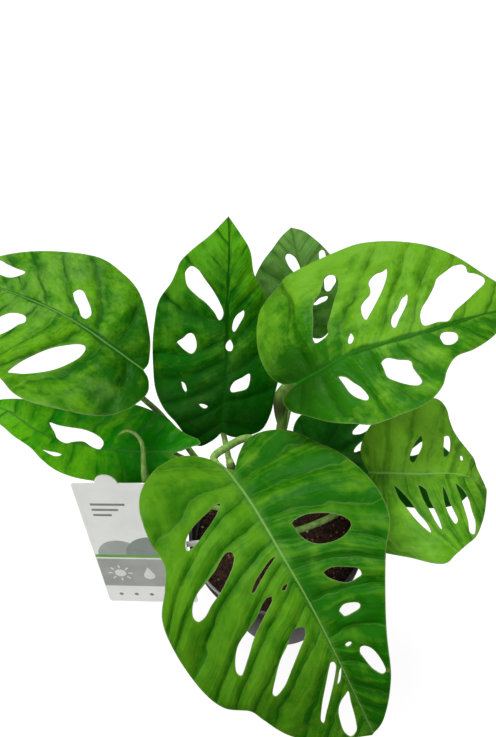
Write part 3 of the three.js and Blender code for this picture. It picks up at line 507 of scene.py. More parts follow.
class Material(Nodes):
    """A node material, built up step by step."""

    def __init__(self, name):
        super().__init__(bpy.data.materials.new(name))
        self.shader = self.tree.nodes["Principled BSDF"]
        self.output = self.tree.nodes["Material Output"]

    def math(self, operation, a, b=0.0, c=0.0, clamp=False):
        made = self.node("ShaderNodeMath", {0: a, 1: b, 2: c}, operation=operation, use_clamp=clamp)
        return made.outputs[0]

    def sway(self, tone, value, middle, strength):
        """The tone, raised where the value is above its middle and lowered where it is below."""
        return self.math("MULTIPLY_ADD", self.math("SUBTRACT", value, middle), strength, tone)

    def fade(self, value, start, end, low=0.0, high=1.0):
        """From low at start to high at end, with soft ends."""
        limits = {"Value": value, "From Min": start, "From Max": end, "To Min": low, "To Max": high}
        return self.node("ShaderNodeMapRange", limits, interpolation_type="SMOOTHSTEP").outputs["Result"]

    def mix(self, factor, a, b):
        made = self.node("ShaderNodeMix", data_type="RGBA", blend_type="MIX")
        for place, value in ((0, factor), (6, a), (7, b)):
            self.feed(made.inputs[place], value)
        return made.outputs[2]

    def place(self):
        return self.node("ShaderNodeTexCoord").outputs["Object"]

    def vector(self, x, y):
        return self.node("ShaderNodeCombineXYZ", {0: x, 1: y}).outputs[0]

    def noise(self, scale, detail=3.0, roughness=0.5, vector=None):
        """Noise with scale features to a metre, or to a millimetre where the vector is in millimetres."""
        vector = self.place() if vector is None else vector
        inputs = {"Scale": scale, "Detail": detail, "Roughness": roughness, "Vector": vector}
        return self.node("ShaderNodeTexNoise", inputs).outputs["Fac"]

    def cells(self, scale, vector, feature="DISTANCE_TO_EDGE"):
        made = self.node("ShaderNodeTexVoronoi", {"Scale": scale, "Vector": vector}, feature=feature)
        return made.outputs["Distance"]

    def numbers(self, name):
        return self.node("ShaderNodeAttribute", attribute_name=name)

    def bump(self, height, distance, strength=1.0):
        inputs = {"Height": height, "Distance": distance, "Strength": strength}
        self.feed(self.shader.inputs["Normal"], self.node("ShaderNodeBump", inputs).outputs[0])

    def set(self, **values):
        for key, value in values.items():
            self.feed(self.shader.inputs[key.replace("_", " ")], value)

    def through(self, colour, share):
        """Lets a share of the light through to the other side, as a thin leaf does."""
        thin = self.node("ShaderNodeBsdfTranslucent", {"Color": colour})
        both = self.node("ShaderNodeMixShader", {0: share, 1: self.shader.outputs[0], 2: thin.outputs[0]})
        self.feed(self.output.inputs["Surface"], both.outputs[0])


def shade(colour, factor):
    return tuple(factor * part for part in colour)


def vein_places(m, gap):
    """Where a point of a blade is among its veins: the side vein's number, which is whole on a vein, the
    distances aside from the midrib and along it, and a flat map of the blade with straight side veins."""
    index, aside, along = m.node("ShaderNodeSeparateXYZ", {0: m.numbers("vein").outputs["Vector"]}).outputs
    wander = m.math("MULTIPLY_ADD", m.noise(55.0, 2.0, 0.5), 0.5, -0.25)
    index = m.math("ADD", index, wander)
    away = m.math("ABSOLUTE", aside)
    return SimpleNamespace(
        index=index, aside=aside, away=away, along=along, from_vein=m.math("PINGPONG", index, 0.5),
        straight=m.vector(m.math("MULTIPLY", index, gap), away),
    )


def blade_field(m, p, look, length):
    """The colour between the veins: a mosaic of lit and deep green, in clouds, in streaks along the veins and
    in small blotches, with painted light and shade across the pleats and fine creases, on each half and at
    the tip, painted shade round the stalk and a painted sheen in soft patches."""
    lit, deep, mosaic = look["lit"], look["deep"], look["mosaic"]
    tone = m.sway(0.68, p.cloud, 0.5, 1.7 * mosaic)
    tone = m.sway(tone, m.noise(0.11, 3.0, 0.55, p.straight), 0.5, 1.5)
    tone = m.sway(tone, p.mottle, 0.5, 1.1 * mosaic)
    tone = m.sway(tone, m.noise(330.0, 3.0, 0.6), 0.5, mosaic)
    # painted light midway between two side veins and painted shade at the veins
    tone = m.sway(tone, p.from_vein, 0.25, 1.6 * look["painted_pleat_shading"])
    # painted light on the ridge of each fine crease and painted shade in its hollow
    tone = m.sway(tone, p.folds, 0.5, m.fade(p.aside, -4.0, 4.0, look["folds"][1], look["folds"][0]))
    # painted light on one side of each pleat and painted shade on the other
    tone = m.sway(tone, m.math("FRACT", p.index), 0.5, -look["painted_pleat_shading"])
    # painted shade on each half, painted light where the number is below zero
    tone = m.math("SUBTRACT", tone, m.fade(p.aside, -4.0, 4.0, look["painted_half_shading"][1], look["painted_half_shading"][0]))
    # painted shade towards the tip, painted light where the number is below zero
    tone = m.math("SUBTRACT", tone, m.fade(p.along, 0.5 * length, length, 0.0, look["tip"]))
    squares = m.math("MULTIPLY_ADD", p.along, p.along, m.math("MULTIPLY", p.aside, p.aside))
    from_stalk = m.math("SQRT", squares)
    # painted shade round the stalk, where the middle of the plant is shaded
    dark, reach = look["base"]
    tone = m.math("SUBTRACT", tone, m.fade(from_stalk, 0.3 * reach, 1.5 * reach, dark, 0.0))
    colour = m.mix(m.math("ADD", tone, 0.0, clamp=True), deep, lit)
    brightest = (lit[0] * 1.3, lit[1] * 1.1, lit[2])
    colour = m.mix(m.fade(p.mottle, 0.55, 0.75, 0.0, 0.4), colour, brightest)
    # deeper painted shade close to the stalk
    colour = m.mix(m.fade(from_stalk, 0.15 * reach, reach, 0.85 * dark, 0.0), colour, shade(deep, 0.25))
    # a painted sheen, greyish green, in soft patches
    sheen_patches = m.fade(m.noise(16.0, 3.0, 0.6), 0.48, 0.62, 0.0, look["painted_sheen"])
    return m.mix(m.math("MULTIPLY", sheen_patches, m.fade(p.mottle, 0.3, 0.6)), colour, (0.17, 0.33, 0.08))


def side_vein_lines(m, p, look, colour):
    """A net of small veins, then the side veins: dark lines of uneven strength, painted shade in their
    grooves, with a hair of pale green.
    """
    gap, strength, rib = look["gap"], look["veins"], look["rib"][0]
    vein_groove_shade = shade(look["deep"], 0.5)
    colour = m.mix(m.fade(p.net, 0.0, 0.12, 0.2 * strength, 0.0), colour, look["deep"])
    colour = m.mix(m.fade(p.fine_net, 0.0, 0.1, 0.1 * strength, 0.0), colour, look["deep"])
    uneven = m.fade(m.noise(0.06, 2.0, 0.6, p.straight), 0.4, 0.6, 0.05, 1.0)
    # the dark lines along the side veins are painted shade in their grooves
    for inner, outer, dark in ((0.2, 2.4, 0.7 * strength), (0.17, 0.6, strength)):
        line = m.fade(p.from_vein, inner / gap, outer / gap, dark, 0.0)
        colour = m.mix(m.math("MULTIPLY", line, uneven), colour, vein_groove_shade)
    hair = m.fade(p.from_vein, 0.1 / gap, 0.35 / gap, 0.16, 0.0)
    return m.mix(hair, colour, rib if rib[1] > 0.2 else vein_groove_shade)


def midrib_line(m, p, look, length, colour):
    """The midrib narrows towards the tip, between a ragged dark band of painted shade from its groove and a
    soft painted sheen.
    """
    rib, strength = look["rib"]
    widths = m.math("DIVIDE", p.away, m.fade(p.along, 0.0, 0.9 * length, 0.75, 0.28))
    ragged = m.sway(widths, m.noise(70.0, 2.0), 0.5, 9.0)
    # painted shade in a ragged band along the midrib's groove
    colour = m.mix(m.fade(ragged, 0.8, 3.6, look["beside"], 0.0), colour, shade(look["deep"], 0.5))
    sheen = m.math("MULTIPLY", m.fade(widths, 1.0, 7.0, 0.35, 0.0), m.fade(p.cloud, 0.4, 0.6, 0.2, 1.0))
    colour = m.mix(m.math("MULTIPLY", sheen, 1.0 - look["beside"]), colour, (0.15, 0.32, 0.07))
    return m.mix(m.fade(widths, 0.55, 1.1, strength, 0.0), colour, rib)


def leaf_top_material(name, look, length):
    m = Material(f"leaf_{name}_top")
    p = vein_places(m, look["gap"])
    p.cloud = m.noise(24.0, 3.0, 0.55)
    p.mottle = m.noise(95.0, 4.0, 0.6)
    along_folds = m.vector(m.math("MULTIPLY", p.index, 3.6 * look["gap"]), m.math("MULTIPLY", p.away, 0.22))
    p.folds = m.noise(0.11, 2.0, 0.5, along_folds)
    warp = {0: p.straight, 1: m.noise(0.35, 2.0, 0.5, p.straight)}
    warped = m.node("ShaderNodeVectorMath", warp, operation="ADD").outputs[0]
    p.net = m.cells(0.2, warped)
    p.fine_net = m.cells(0.7, warped)

    colour = blade_field(m, p, look, length)
    colour = side_vein_lines(m, p, look, colour)
    colour = midrib_line(m, p, look, length, colour)
    rim = m.fade(m.numbers("rim").outputs["Fac"], 0.0, 0.7, 0.5, 0.0)
    colour = m.mix(rim, colour, (0.2, 0.3, 0.07))

    net_depth = m.fade(p.net, 0.0, 0.15, -0.4 * look["veins"], 0.0)
    height = m.math("MULTIPLY_ADD", m.noise(900.0, 2.0, 0.6), 0.1, net_depth)
    height = m.math("MULTIPLY_ADD", m.fade(p.from_vein, 0.0, 0.1, 1.0, 0.0), -0.6, height)
    height = m.math("MULTIPLY_ADD", p.folds, 2.0 * look["folds"][0], height)
    m.bump(m.math("MULTIPLY_ADD", p.mottle, 0.4, height), 0.0006, 0.4)
    m.set(Base_Color=colour, Roughness=m.fade(p.cloud, 0.3, 0.7, 0.33, 0.46), Specular_IOR_Level=0.05)
    m.through(m.mix(0.45, colour, (0.1, 0.5, 0.001)), 0.3)
    return m.data


def leaf_back_material(name, look):
    m = Material(f"leaf_{name}_back")
    p = vein_places(m, look["gap"])
    cloud = m.noise(40.0, 4.0, 0.55)
    pale = tuple(1.1 * part + 0.015 for part in look["lit"])
    colour = m.mix(m.fade(cloud, 0.35, 0.65), shade(pale, 0.75), pale)
    net = m.fade(m.cells(0.23, p.straight), 0.0, 0.1, 0.3, 0.0)
    colour = m.mix(net, colour, (0.18, 0.38, 0.08))
    colour = m.mix(m.fade(p.from_vein, 0.02, 0.07, 0.5, 0.0), colour, (0.2, 0.4, 0.09))
    colour = m.mix(m.fade(p.away, 1.0, 1.8, 0.8, 0.0), colour, (0.24, 0.44, 0.11))
    m.bump(m.math("MULTIPLY", net, 0.6), 0.0005, 0.5)
    m.set(Base_Color=colour, Roughness=m.fade(cloud, 0.3, 0.7, 0.48, 0.6), Specular_IOR_Level=0.2)
    m.through(m.mix(0.5, colour, (0.14, 0.5, 0.006)), 0.3)
    return m.data


def leaf_rim_material():
    m = Material("leaf_rim")
    speck = m.noise(300.0, 3.0, 0.6)
    m.set(Base_Color=m.mix(m.fade(speck, 0.4, 0.65), (0.36, 0.48, 0.2), (0.17, 0.19, 0.08)), Roughness=0.5)
    return m.data


def stalk_material():
    m = Material("stalk")
    tall = m.node("ShaderNodeMapping", {"Vector": m.place(), "Scale": (1, 1, 0.12)}).outputs[0]
    streaks = m.noise(420.0, 4.0, 0.6, tall)
    cloud = m.noise(45.0, 3.0, 0.5)
    green = m.mix(m.fade(streaks, 0.35, 0.65), (0.13, 0.27, 0.04), (0.26, 0.42, 0.1))
    green = m.mix(m.fade(cloud, 0.4, 0.7, 0.0, 0.5), green, (0.07, 0.2, 0.02))
    joint = m.numbers("joint").outputs["Fac"]
    green = m.mix(m.fade(joint, 0.15, 0.95, 0.0, 0.85), green, (0.05, 0.06, 0.018))
    m.bump(streaks, 0.0004, 0.4)
    m.set(Base_Color=green, Roughness=m.fade(cloud, 0.3, 0.7, 0.38, 0.52), Specular_IOR_Level=0.35)
    m.set(Subsurface_Weight=0.08, Subsurface_Radius=(0.3, 0.6, 0.1), Subsurface_Scale=0.002)
    return m.data


def pot_material():
    m = Material("pot_plastic")
    cloud = m.noise(22.0, 3.0, 0.5)
    dust = m.noise(120.0, 5.0, 0.65)
    # one plastic: near black as painted shade inside and on the band and rim, pale grey as the white floor's
    # painted reflection on the lower outside
    colour = m.mix(m.numbers("tone").outputs["Fac"], (0.014, 0.014, 0.014), (0.21, 0.205, 0.2))
    colour = m.mix(m.fade(dust, 0.55, 0.78, 0.0, 0.25), colour, (0.16, 0.14, 0.12))
    m.bump(m.math("ADD", m.math("MULTIPLY", m.noise(900.0, 3.0, 0.6), 0.35), cloud), 0.0002, 0.5)
    m.set(Base_Color=colour, Roughness=m.fade(cloud, 0.3, 0.7, 0.3, 0.42), Specular_IOR_Level=0.5)
    return m.data


def soil_material():
    m = Material("soil_crumb")
    crumb = m.noise(330.0, 6.0, 0.7)
    bits = m.cells(420.0, m.place(), "F1")
    colour = m.mix(m.fade(crumb, 0.35, 0.68), (0.006, 0.0035, 0.0025), (0.05, 0.022, 0.012))
    colour = m.mix(m.fade(m.noise(90.0, 4.0, 0.6), 0.5, 0.75, 0.0, 0.6), colour, (0.085, 0.035, 0.018))
    colour = m.mix(m.fade(bits, 0.1, 0.16, 0.35, 0.0), colour, (0.2, 0.12, 0.07))
    m.bump(m.math("ADD", crumb, m.math("MULTIPLY", bits, 0.5)), 0.0016, 0.8)
    m.set(Base_Color=colour, Roughness=0.9, Specular_IOR_Level=0.2)
    return m.data


def speckled_material(name, dark, light, scale, roughness):
    m = Material(name)
    speck = m.noise(scale, 4.0, 0.6)
    m.bump(speck, 0.0003, 0.5)
    m.set(Base_Color=m.mix(m.fade(speck, 0.35, 0.65), dark, light), Roughness=roughness)
    return m.data


def floor_material():
    m = Material("studio_floor")
    m.set(Base_Color=m.mix(m.noise(2.0, 2.0, 0.5), (0.19, 0.19, 0.19), (0.21, 0.21, 0.21)), Roughness=0.9)
    m.set(Specular_IOR_Level=0.0, Emission_Color=(1, 1, 1), Emission_Strength=0.84)
    return m.data


# ---------------- leaf blades


class Surface:
    """Carries a leaf's flat drawing to its bent shape."""

    SPAN = 7  # how far to each side of a place the midrib's direction is taken from

    def __init__(self, leaf):
        self.leaf = leaf
        self.run = smooth_run(leaf["midrib"], 60)
        self.reach = reach_along(self.run)
        self.length = self.reach[-1]

    def midrib(self, u):
        return along_run(u, self.reach, self.run)

    def point(self, u, v):
        inside = np.clip(u, 0, self.length)
        share = (inside / self.length)[:, None]
        tangent = unit(self.midrib(inside + self.SPAN) - self.midrib(inside - self.SPAN))
        centre = self.midrib(inside) + tangent * (u - inside)[:, None]
        base_side, tip_side = (unit(side) for side in self.leaf["side"])
        side = base_side * (1 - share) + tip_side * share
        side = unit(side - (side * tangent).sum(axis=1, keepdims=True) * tangent)
        up = np.cross(tangent, side)
        half = (v < 0).astype(int)
        share = share[:, 0]
        fold, curl = (np.radians(np.array(self.leaf[key], float)) for key in ("fold", "curl"))
        fold = fold[half, 0] * (1 - share) + fold[half, 1] * share
        curl = curl[half, 0] * (1 - share) + curl[half, 1] * share
        curl = np.where(np.abs(curl) < 1e-6, 1e-6, curl)
        away = np.abs(v)
        across = (np.sin(fold + curl * away) - np.sin(fold)) / curl
        rise = (np.cos(fold) - np.cos(fold + curl * away)) / curl
        return centre + side * (across * np.where(half == 1, -1, 1))[:, None] + up * rise[:, None]

    def frame(self, u, v):
        """The point and the blade's upward normal there."""
        inward = np.where(v < 0, -0.5, 0.5)
        along = self.point(u + 0.5, v) - self.point(u - 0.5, v)
        across = (self.point(u, v + inward) - self.point(u, v)) * np.sign(inward)[:, None]
        return self.point(u, v), unit(np.cross(along, across))


def blade_edge(leaf, step):
    left = spaced(smooth_run([leaf["sinus"], *leaf["left"], leaf["tip"]]), step)
    right = spaced(smooth_run([leaf["tip"], *reversed(leaf["right"]), leaf["sinus"]]), step)
    return np.vstack([left[:-1], right[:-1]])


def hole_edge(hole, step, seed):
    """The edge of a hole: its outline, or a slightly uneven slender egg."""
    if isinstance(hole[0], list):
        run = smooth_run([hole[-1], *hole, hole[0], hole[1]], 10)[10:-20]
        return spaced(np.vstack([run, run[:1]]), step)[:-1]
    inner, outer, width = np.array(hole[0:2], float), np.array(hole[2:4], float), hole[4]
    length = np.linalg.norm(outer - inner)
    axis = (outer - inner) / length
    aside = np.array([-axis[1], axis[0]])
    angle = circle(max(12, round((2 * length + width) / step)))
    share = (1 - np.cos(angle)) / 2
    uneven = 1 + 0.07 * np.sin(3 * angle + seed) + 0.05 * np.sin(5 * angle + 2 * seed)
    offset = (width / 2) * np.sin(angle) * (0.78 + 0.34 * share) * uneven
    return inner + np.outer(share * length, axis) + np.outer(offset, aside)


def hole_axis(hole):
    """The hole's ends nearest to the midrib and farthest from it."""
    if isinstance(hole[0], list):
        return [*min(hole, key=lambda p: abs(p[1])), *max(hole, key=lambda p: abs(p[1]))]
    return hole[:4]


def inside_loop(points, loop):
    x, y = points[:, 0, None], points[:, 1, None]
    x1, y1 = loop.T
    x2, y2 = np.roll(loop, -1, axis=0).T
    crosses = (y1 > y) != (y2 > y)
    rise = np.where(y2 == y1, 1e-9, y2 - y1)
    return (crosses & (x < x1 + (y - y1) / rise * (x2 - x1))).sum(axis=1) % 2 == 1


def distance_to(others, points):
    """How far each flat point is from the nearest of the others."""
    tree = kdtree.KDTree(len(others))
    for i, (x, y) in enumerate(others):
        tree.insert((x, y, 0), i)
    tree.balance()
    return np.array([tree.find((x, y, 0))[2] for x, y in points])


def loop_links(loops):
    """The edges of loops whose points are numbered one loop after the other."""
    links, first = [], 0
    for loop in loops:
        links += [(first + i, first + (i + 1) % len(loop)) for i in range(len(loop))]
        first += len(loop)
    return links


def filled(points, links, loops):
    """Triangles between the points, inside the first loop and outside the others."""
    out = geometry.delaunay_2d_cdt([Vector(p) for p in points], links, [], 0, 1e-5)
    corners = np.array([tuple(p) for p in out[0]])
    triangles = np.array(out[2])
    middle = corners[triangles].mean(axis=1)
    keep = inside_loop(middle, loops[0])
    for hole in loops[1:]:
        keep &= ~inside_loop(middle, hole)
    return corners, triangles[keep]


def flat_blade(leaf):
    """Points and triangles of the flat blade, with an edge along the midrib, and how far each point is from
    the rim."""
    loops = [blade_edge(leaf, BLADE["edge_step"])]
    loops += [hole_edge(hole, BLADE["hole_step"], i) for i, hole in enumerate(leaf["holes"])]
    rim = np.vstack(loops)
    along = np.arange(leaf["sinus"][0] + 1.2, leaf["tip"][0] - 1.5, BLADE["edge_step"])
    spine = np.stack([along, np.zeros(len(along))], -1)
    step = BLADE["grid_step"]
    low, high = loops[0].min(axis=0), loops[0].max(axis=0)
    rows = []
    for i, u in enumerate(np.arange(low[0], high[0], step * 0.866)):
        across = np.arange(low[1] + (i % 2) * step / 2, high[1], step)
        rows.append(np.stack([np.full(len(across), u), across], -1))
    grid = np.vstack(rows)
    free = inside_loop(grid, loops[0]) & (distance_to(np.vstack([rim, spine]), grid) > 0.6 * step)
    for hole in loops[1:]:
        free &= ~inside_loop(grid, hole)
    spine = spine[distance_to(rim, spine) > 0.5]
    links = loop_links(loops)
    for i, (here, after) in enumerate(zip(spine[:-1, 0], spine[1:, 0]), len(rim)):
        if after - here < 1.5 * BLADE["edge_step"]:
            links.append((i, i + 1))
    corners, triangles = filled(np.vstack([rim, spine, grid[free]]), links, loops)
    return corners, triangles, distance_to(rim, corners)


def rim_edges(triangles):
    """Directed edges that only one triangle has."""
    directed = np.vstack([triangles[:, [0, 1]], triangles[:, [1, 2]], triangles[:, [2, 0]]])
    seen = {tuple(edge) for edge in directed}
    return [edge for edge in seen if (edge[1], edge[0]) not in seen]


class Veins:
    """The side veins of one half: back into the lobe at the base, and ever more forward towards the tip. Each
    leaves the midrib at a station, with a slope. Each long hole lies midway between two of them."""

    BASE = (-6.0, -1.0)  # station and slope of the first vein
    BEYOND_TIP, TIP_SLOPE = 12, 1.5  # and of the last, which lies past the tip
    LONG_HOLE, CLOSEST = 10, 6  # only a hole this long counts, and only this far from the one before

    def __init__(self, leaf, look, length, side):
        self.gap, self.bend = look["gap"], look["bend"]
        knots = []
        for u0, v0, u1, v1 in map(hole_axis, leaf["holes"]):
            if v0 * side < 0 or math.hypot(u1 - u0, v1 - v0) < self.LONG_HOLE:
                continue
            a0, a1 = abs(v0), abs(v1)
            middle_u, middle_a = (u0 + u1) / 2, (a0 + a1) / 2
            slope = min(max((u1 - u0) / max(a1 - a0, 4), -0.3), 1.9) - 2 * self.bend * middle_a
            knots.append((middle_u - slope * middle_a - self.bend * middle_a**2, slope))
        spread, order, halfway = [self.BASE], [0.0], 0.5
        for station, slope in sorted(knots):
            passed = station - spread[-1][0]
            if passed < self.CLOSEST:
                continue
            halfway += max(1, round(passed / self.gap))
            spread.append((station, slope))
            order.append(halfway)
        end = length + self.BEYOND_TIP
        order.append(order[-1] + (end - spread[-1][0]) / self.gap)
        spread.append((end, self.TIP_SLOPE))
        self.stations, self.slopes = np.array(spread).T
        self.order = np.array(order)

    def at(self, u, away):
        """The vein number of each point: whole on a side vein."""
        table = np.linspace(self.stations[0] - 30, self.stations[-1] + 10, 260)
        slope = np.interp(table, self.stations, self.slopes)
        order = np.interp(table, self.stations, self.order)
        order += (table - np.clip(table, self.stations[0], self.stations[-1])) / self.gap
        found = np.empty(len(u))
        for i, (place, a) in enumerate(zip(u, away)):
            reach = np.maximum.accumulate(table + slope * a + self.bend * a * a)
            found[i] = np.interp(place, reach, order)
        return found


def hump(distance, height, width):
    return height * np.exp(-((distance / width) ** 2))


def blade_relief(look, seed, tip, u, v, rim, order):
    """How far the blade rises: it swells between two side veins, puckers, has a groove on the midrib and a
    rippled rim. The second value is how far a rib stands out below under each side vein."""
    away, gap = np.abs(v), look["gap"]
    fading = np.clip(rim / 4, 0, 1) * np.clip((away - 0.5) / 6, 0, 1)
    swell = np.abs(np.sin(np.pi * order)) ** 0.7 - 0.55
    relief = swell * np.where(v > 0, *look["pleat"]) * fading * np.clip(1.25 - u / tip * 0.6, 0.4, 1)
    long, wide = RELIEF["quilt_size"]
    quilt = fractal(np.stack([order * gap / long, away / wide, np.full(len(u), seed)], -1), 1.0, seed, 2)
    puckers = fractal(np.stack([u, v, np.full(len(u), 9.0 * seed)], -1), RELIEF["pucker_size"], seed, 2)
    relief += (RELIEF["quilt"] * quilt + look["pucker"] * RELIEF["puckers"] * puckers) * fading
    relief -= hump(away, *RELIEF["groove"]) * np.clip(1 - u / tip * 0.7, 0.2, 1)
    ripple = np.sin(u / RELIEF["ripple_size"] + np.where(v > 0, 0, 1.7)) * np.clip((away - 20) / 25, 0, 1)
    relief += RELIEF["ripple"] * (ripple * np.clip(1 - rim / 12, 0, 1))
    return relief, hump((order - np.round(order)) * gap, *RELIEF["side_rib"]) * fading


def mark_sharp(piece, sharp):
    mesh = piece.data
    ends = np.empty(len(mesh.edges) * 2, int)
    mesh.edges.foreach_get("vertices", ends)
    layer = mesh.attributes.new("sharp_edge", "BOOLEAN", "EDGE")
    layer.data.foreach_set("value", [frozenset(pair) in sharp for pair in ends.reshape(-1, 2).tolist()])


def leaf_piece(name, leaf):
    look, tip, seed = LEAF_LOOKS[name], leaf["tip"][0], len(name)
    surface = Surface(leaf)
    flat, triangles, rim = flat_blade(leaf)
    u, v = flat.T
    away = np.abs(v)
    left, right = (Veins(leaf, look, surface.length, side).at(u, away) for side in (1, -1))
    order = np.where(v >= 0, left, right)
    relief, side_rib = blade_relief(look, seed, tip, u, v, rim, order)
    midrib = hump(away, *RELIEF["midrib"]) * np.clip(1 - u / tip * 0.85, 0.08, 1) * np.clip(rim / 1.5, 0, 1)
    half_thick = BLADE["thickness"] * (0.6 + 0.4 * np.clip(rim / 2, 0, 1)) / 2
    point, up = surface.frame(u, v)
    top = point + up * (relief + half_thick)[:, None]
    bottom = point + up * (relief - half_thick - midrib - side_rib)[:, None]

    count = len(flat)
    walls = [(int(a), int(b)) for a, b in rim_edges(triangles)]
    faces = [tuple(t) for t in triangles]
    faces += [(a + count, c + count, b + count) for a, b, c in triangles]
    faces += [(a, a + count, b + count, b) for a, b in walls]
    kinds = [0] * len(triangles) + [1] * len(triangles) + [2] * len(walls)
    materials = [leaf_top_material(name, look, tip), leaf_back_material(name, look), RIM]
    points = np.vstack([top, bottom])
    piece = make_piece(f"blade_{name}", points, faces, materials, "leaf", f"leaf_{name}", kinds)
    add_numbers(piece, "vein", np.tile(np.stack([order, v, u], -1), (2, 1)))
    add_numbers(piece, "rim", np.tile(rim, 2))
    mark_sharp(piece, {frozenset((a + k, b + k)) for a, b in walls for k in (0, count)})


# ---------------- stems and stalks


def tube(points, radii, step=1.6, sides=20, joints=(), ribs=0.0, roll=0.0):
    """Points and faces of a closed round tube, and how strongly each point is marked as a joint or an edge.
    Its radius changes along it. Roll is the height of the overlap that winds round the upper half of a rolled
    leaf, as a share of its radius."""
    run = spaced(smooth_run(points, 24), step)
    rings = len(run)
    share = np.linspace(0, 1, rings)
    swelling = np.zeros(rings)
    for place, width, size in joints:
        swelling += size * np.exp(-(((share - place) * (rings - 1) * step / width) ** 2))
    radius = np.interp(share * (len(radii) - 1), range(len(radii)), radii) + swelling
    normal = np.array([1, 0.2, 0.1])
    around = np.arange(sides) / sides
    overlap = roll * np.clip((share - 0.45) / 0.1, 0, 1)
    turns = 1.5 * share if roll else 0 * share
    ahead = unit(np.gradient(run, axis=0))
    rows = []
    for centre, forward, r, fold, turn in zip(run, ahead, radius, overlap, turns):
        angle = 2 * np.pi * (around + turn)
        normal = unit(normal - (normal @ forward) * forward)
        other = np.cross(forward, normal)
        size = r * (1 + ribs * np.cos(angle * 5) - fold * around)
        rows.append(centre + np.outer(size * np.cos(angle), normal) + np.outer(size * np.sin(angle), other))
    faces = []
    for i in range(rings - 1):
        faces += band(i * sides, (i + 1) * sides, sides)
    faces.append(tuple(range(sides))[::-1])
    faces.append(tuple(range((rings - 1) * sides, rings * sides)))
    mark = np.repeat(np.clip(swelling / 0.5, 0, 1), sides) + 1.5 * np.outer(overlap, around > 0.93).ravel()
    return np.vstack(rows), faces, mark


def stalk_tube(stalk):
    """A leaf's stalk, which bends into its blade from below, just inside the sinus."""
    leaf, radius = LEAVES[stalk["leaf"]], stalk["radius"]
    u, v = np.array([leaf["sinus"][0] + radius]), np.array([float(leaf["sinus"][1])])
    point, up = (item[0] for item in Surface(leaf).frame(u, v))
    droop = max(0, *(-math.sin(math.radians(fold[0])) for fold in leaf["fold"]))
    stand_off = BLADE["thickness"] / 2 + GAP + KNEE["margin"] + 0.4 * droop * radius
    knee = point - up * (stand_off + KNEE["length"])
    radii = [radius * 1.12, radius, radius * 0.95, radius * KNEE["taper"]]
    return tube([*stalk["points"], knee, point - up * stand_off], radii, step=1.3, ribs=0.03)


def stem_piece(name, stem):
    """A stem with the stalks that grow from it, and with the sheath round its top where it has one."""
    parts = [tube(stem["points"], stem["radii"], joints=STEM_JOINTS)]
    parts += [stalk_tube(stalk) for stalk in stem["stalks"]]
    if "sheath" in stem:
        parts.append(tube(**stem["sheath"], joints=SHEATH_JOINTS, ribs=0.08))
    corners, faces = joined([part[:2] for part in parts])
    mark = np.concatenate([part[2] for part in parts])
    piece = make_piece(name.replace("stem", "stalks"), corners, faces, [STALK], "stem", name)
    add_numbers(piece, "joint", np.clip(mark + 0.12 * fractal(corners, 9.0, len(name), 2), 0, 1))


def shoot_piece():
    """The rolled leaf: a slim cone with the overlap of its roll winding round it."""
    corners, faces, mark = tube(SHOOT["points"], SHOOT["radii"], step=1.2, sides=24, roll=0.28)
    piece = make_piece("rolled_leaf", corners, faces, [STALK], "stem", "shoot")
    add_numbers(piece, "joint", mark)


# ---------------- pot and soil


def ring(radius, sides):
    return radius * np.stack([np.cos(circle(sides)), np.sin(circle(sides))], -1)


def at_height(flat, z):
    return np.column_stack([flat, np.full(len(flat), float(z))])


def rounded(profile, radius=0.5, steps=3):
    """The same profile with its corners rounded off."""
    points = [np.array(profile[0], float)]
    for before, corner, after in zip(profile[:-2], profile[1:-1], profile[2:]):
        before, corner, after = (np.array(p, float) for p in (before, corner, after))
        back, ahead = before - corner, after - corner
        cut = min(radius, np.linalg.norm(back) * 0.45, np.linalg.norm(ahead) * 0.45)
        start, end = corner + unit(back) * cut, corner + unit(ahead) * cut
        for t in np.linspace(0, 1, steps + 1):
            points.append((1 - t) ** 2 * start + 2 * t * (1 - t) * corner + t * t * end)
    return [*points, np.array(profile[-1], float)]


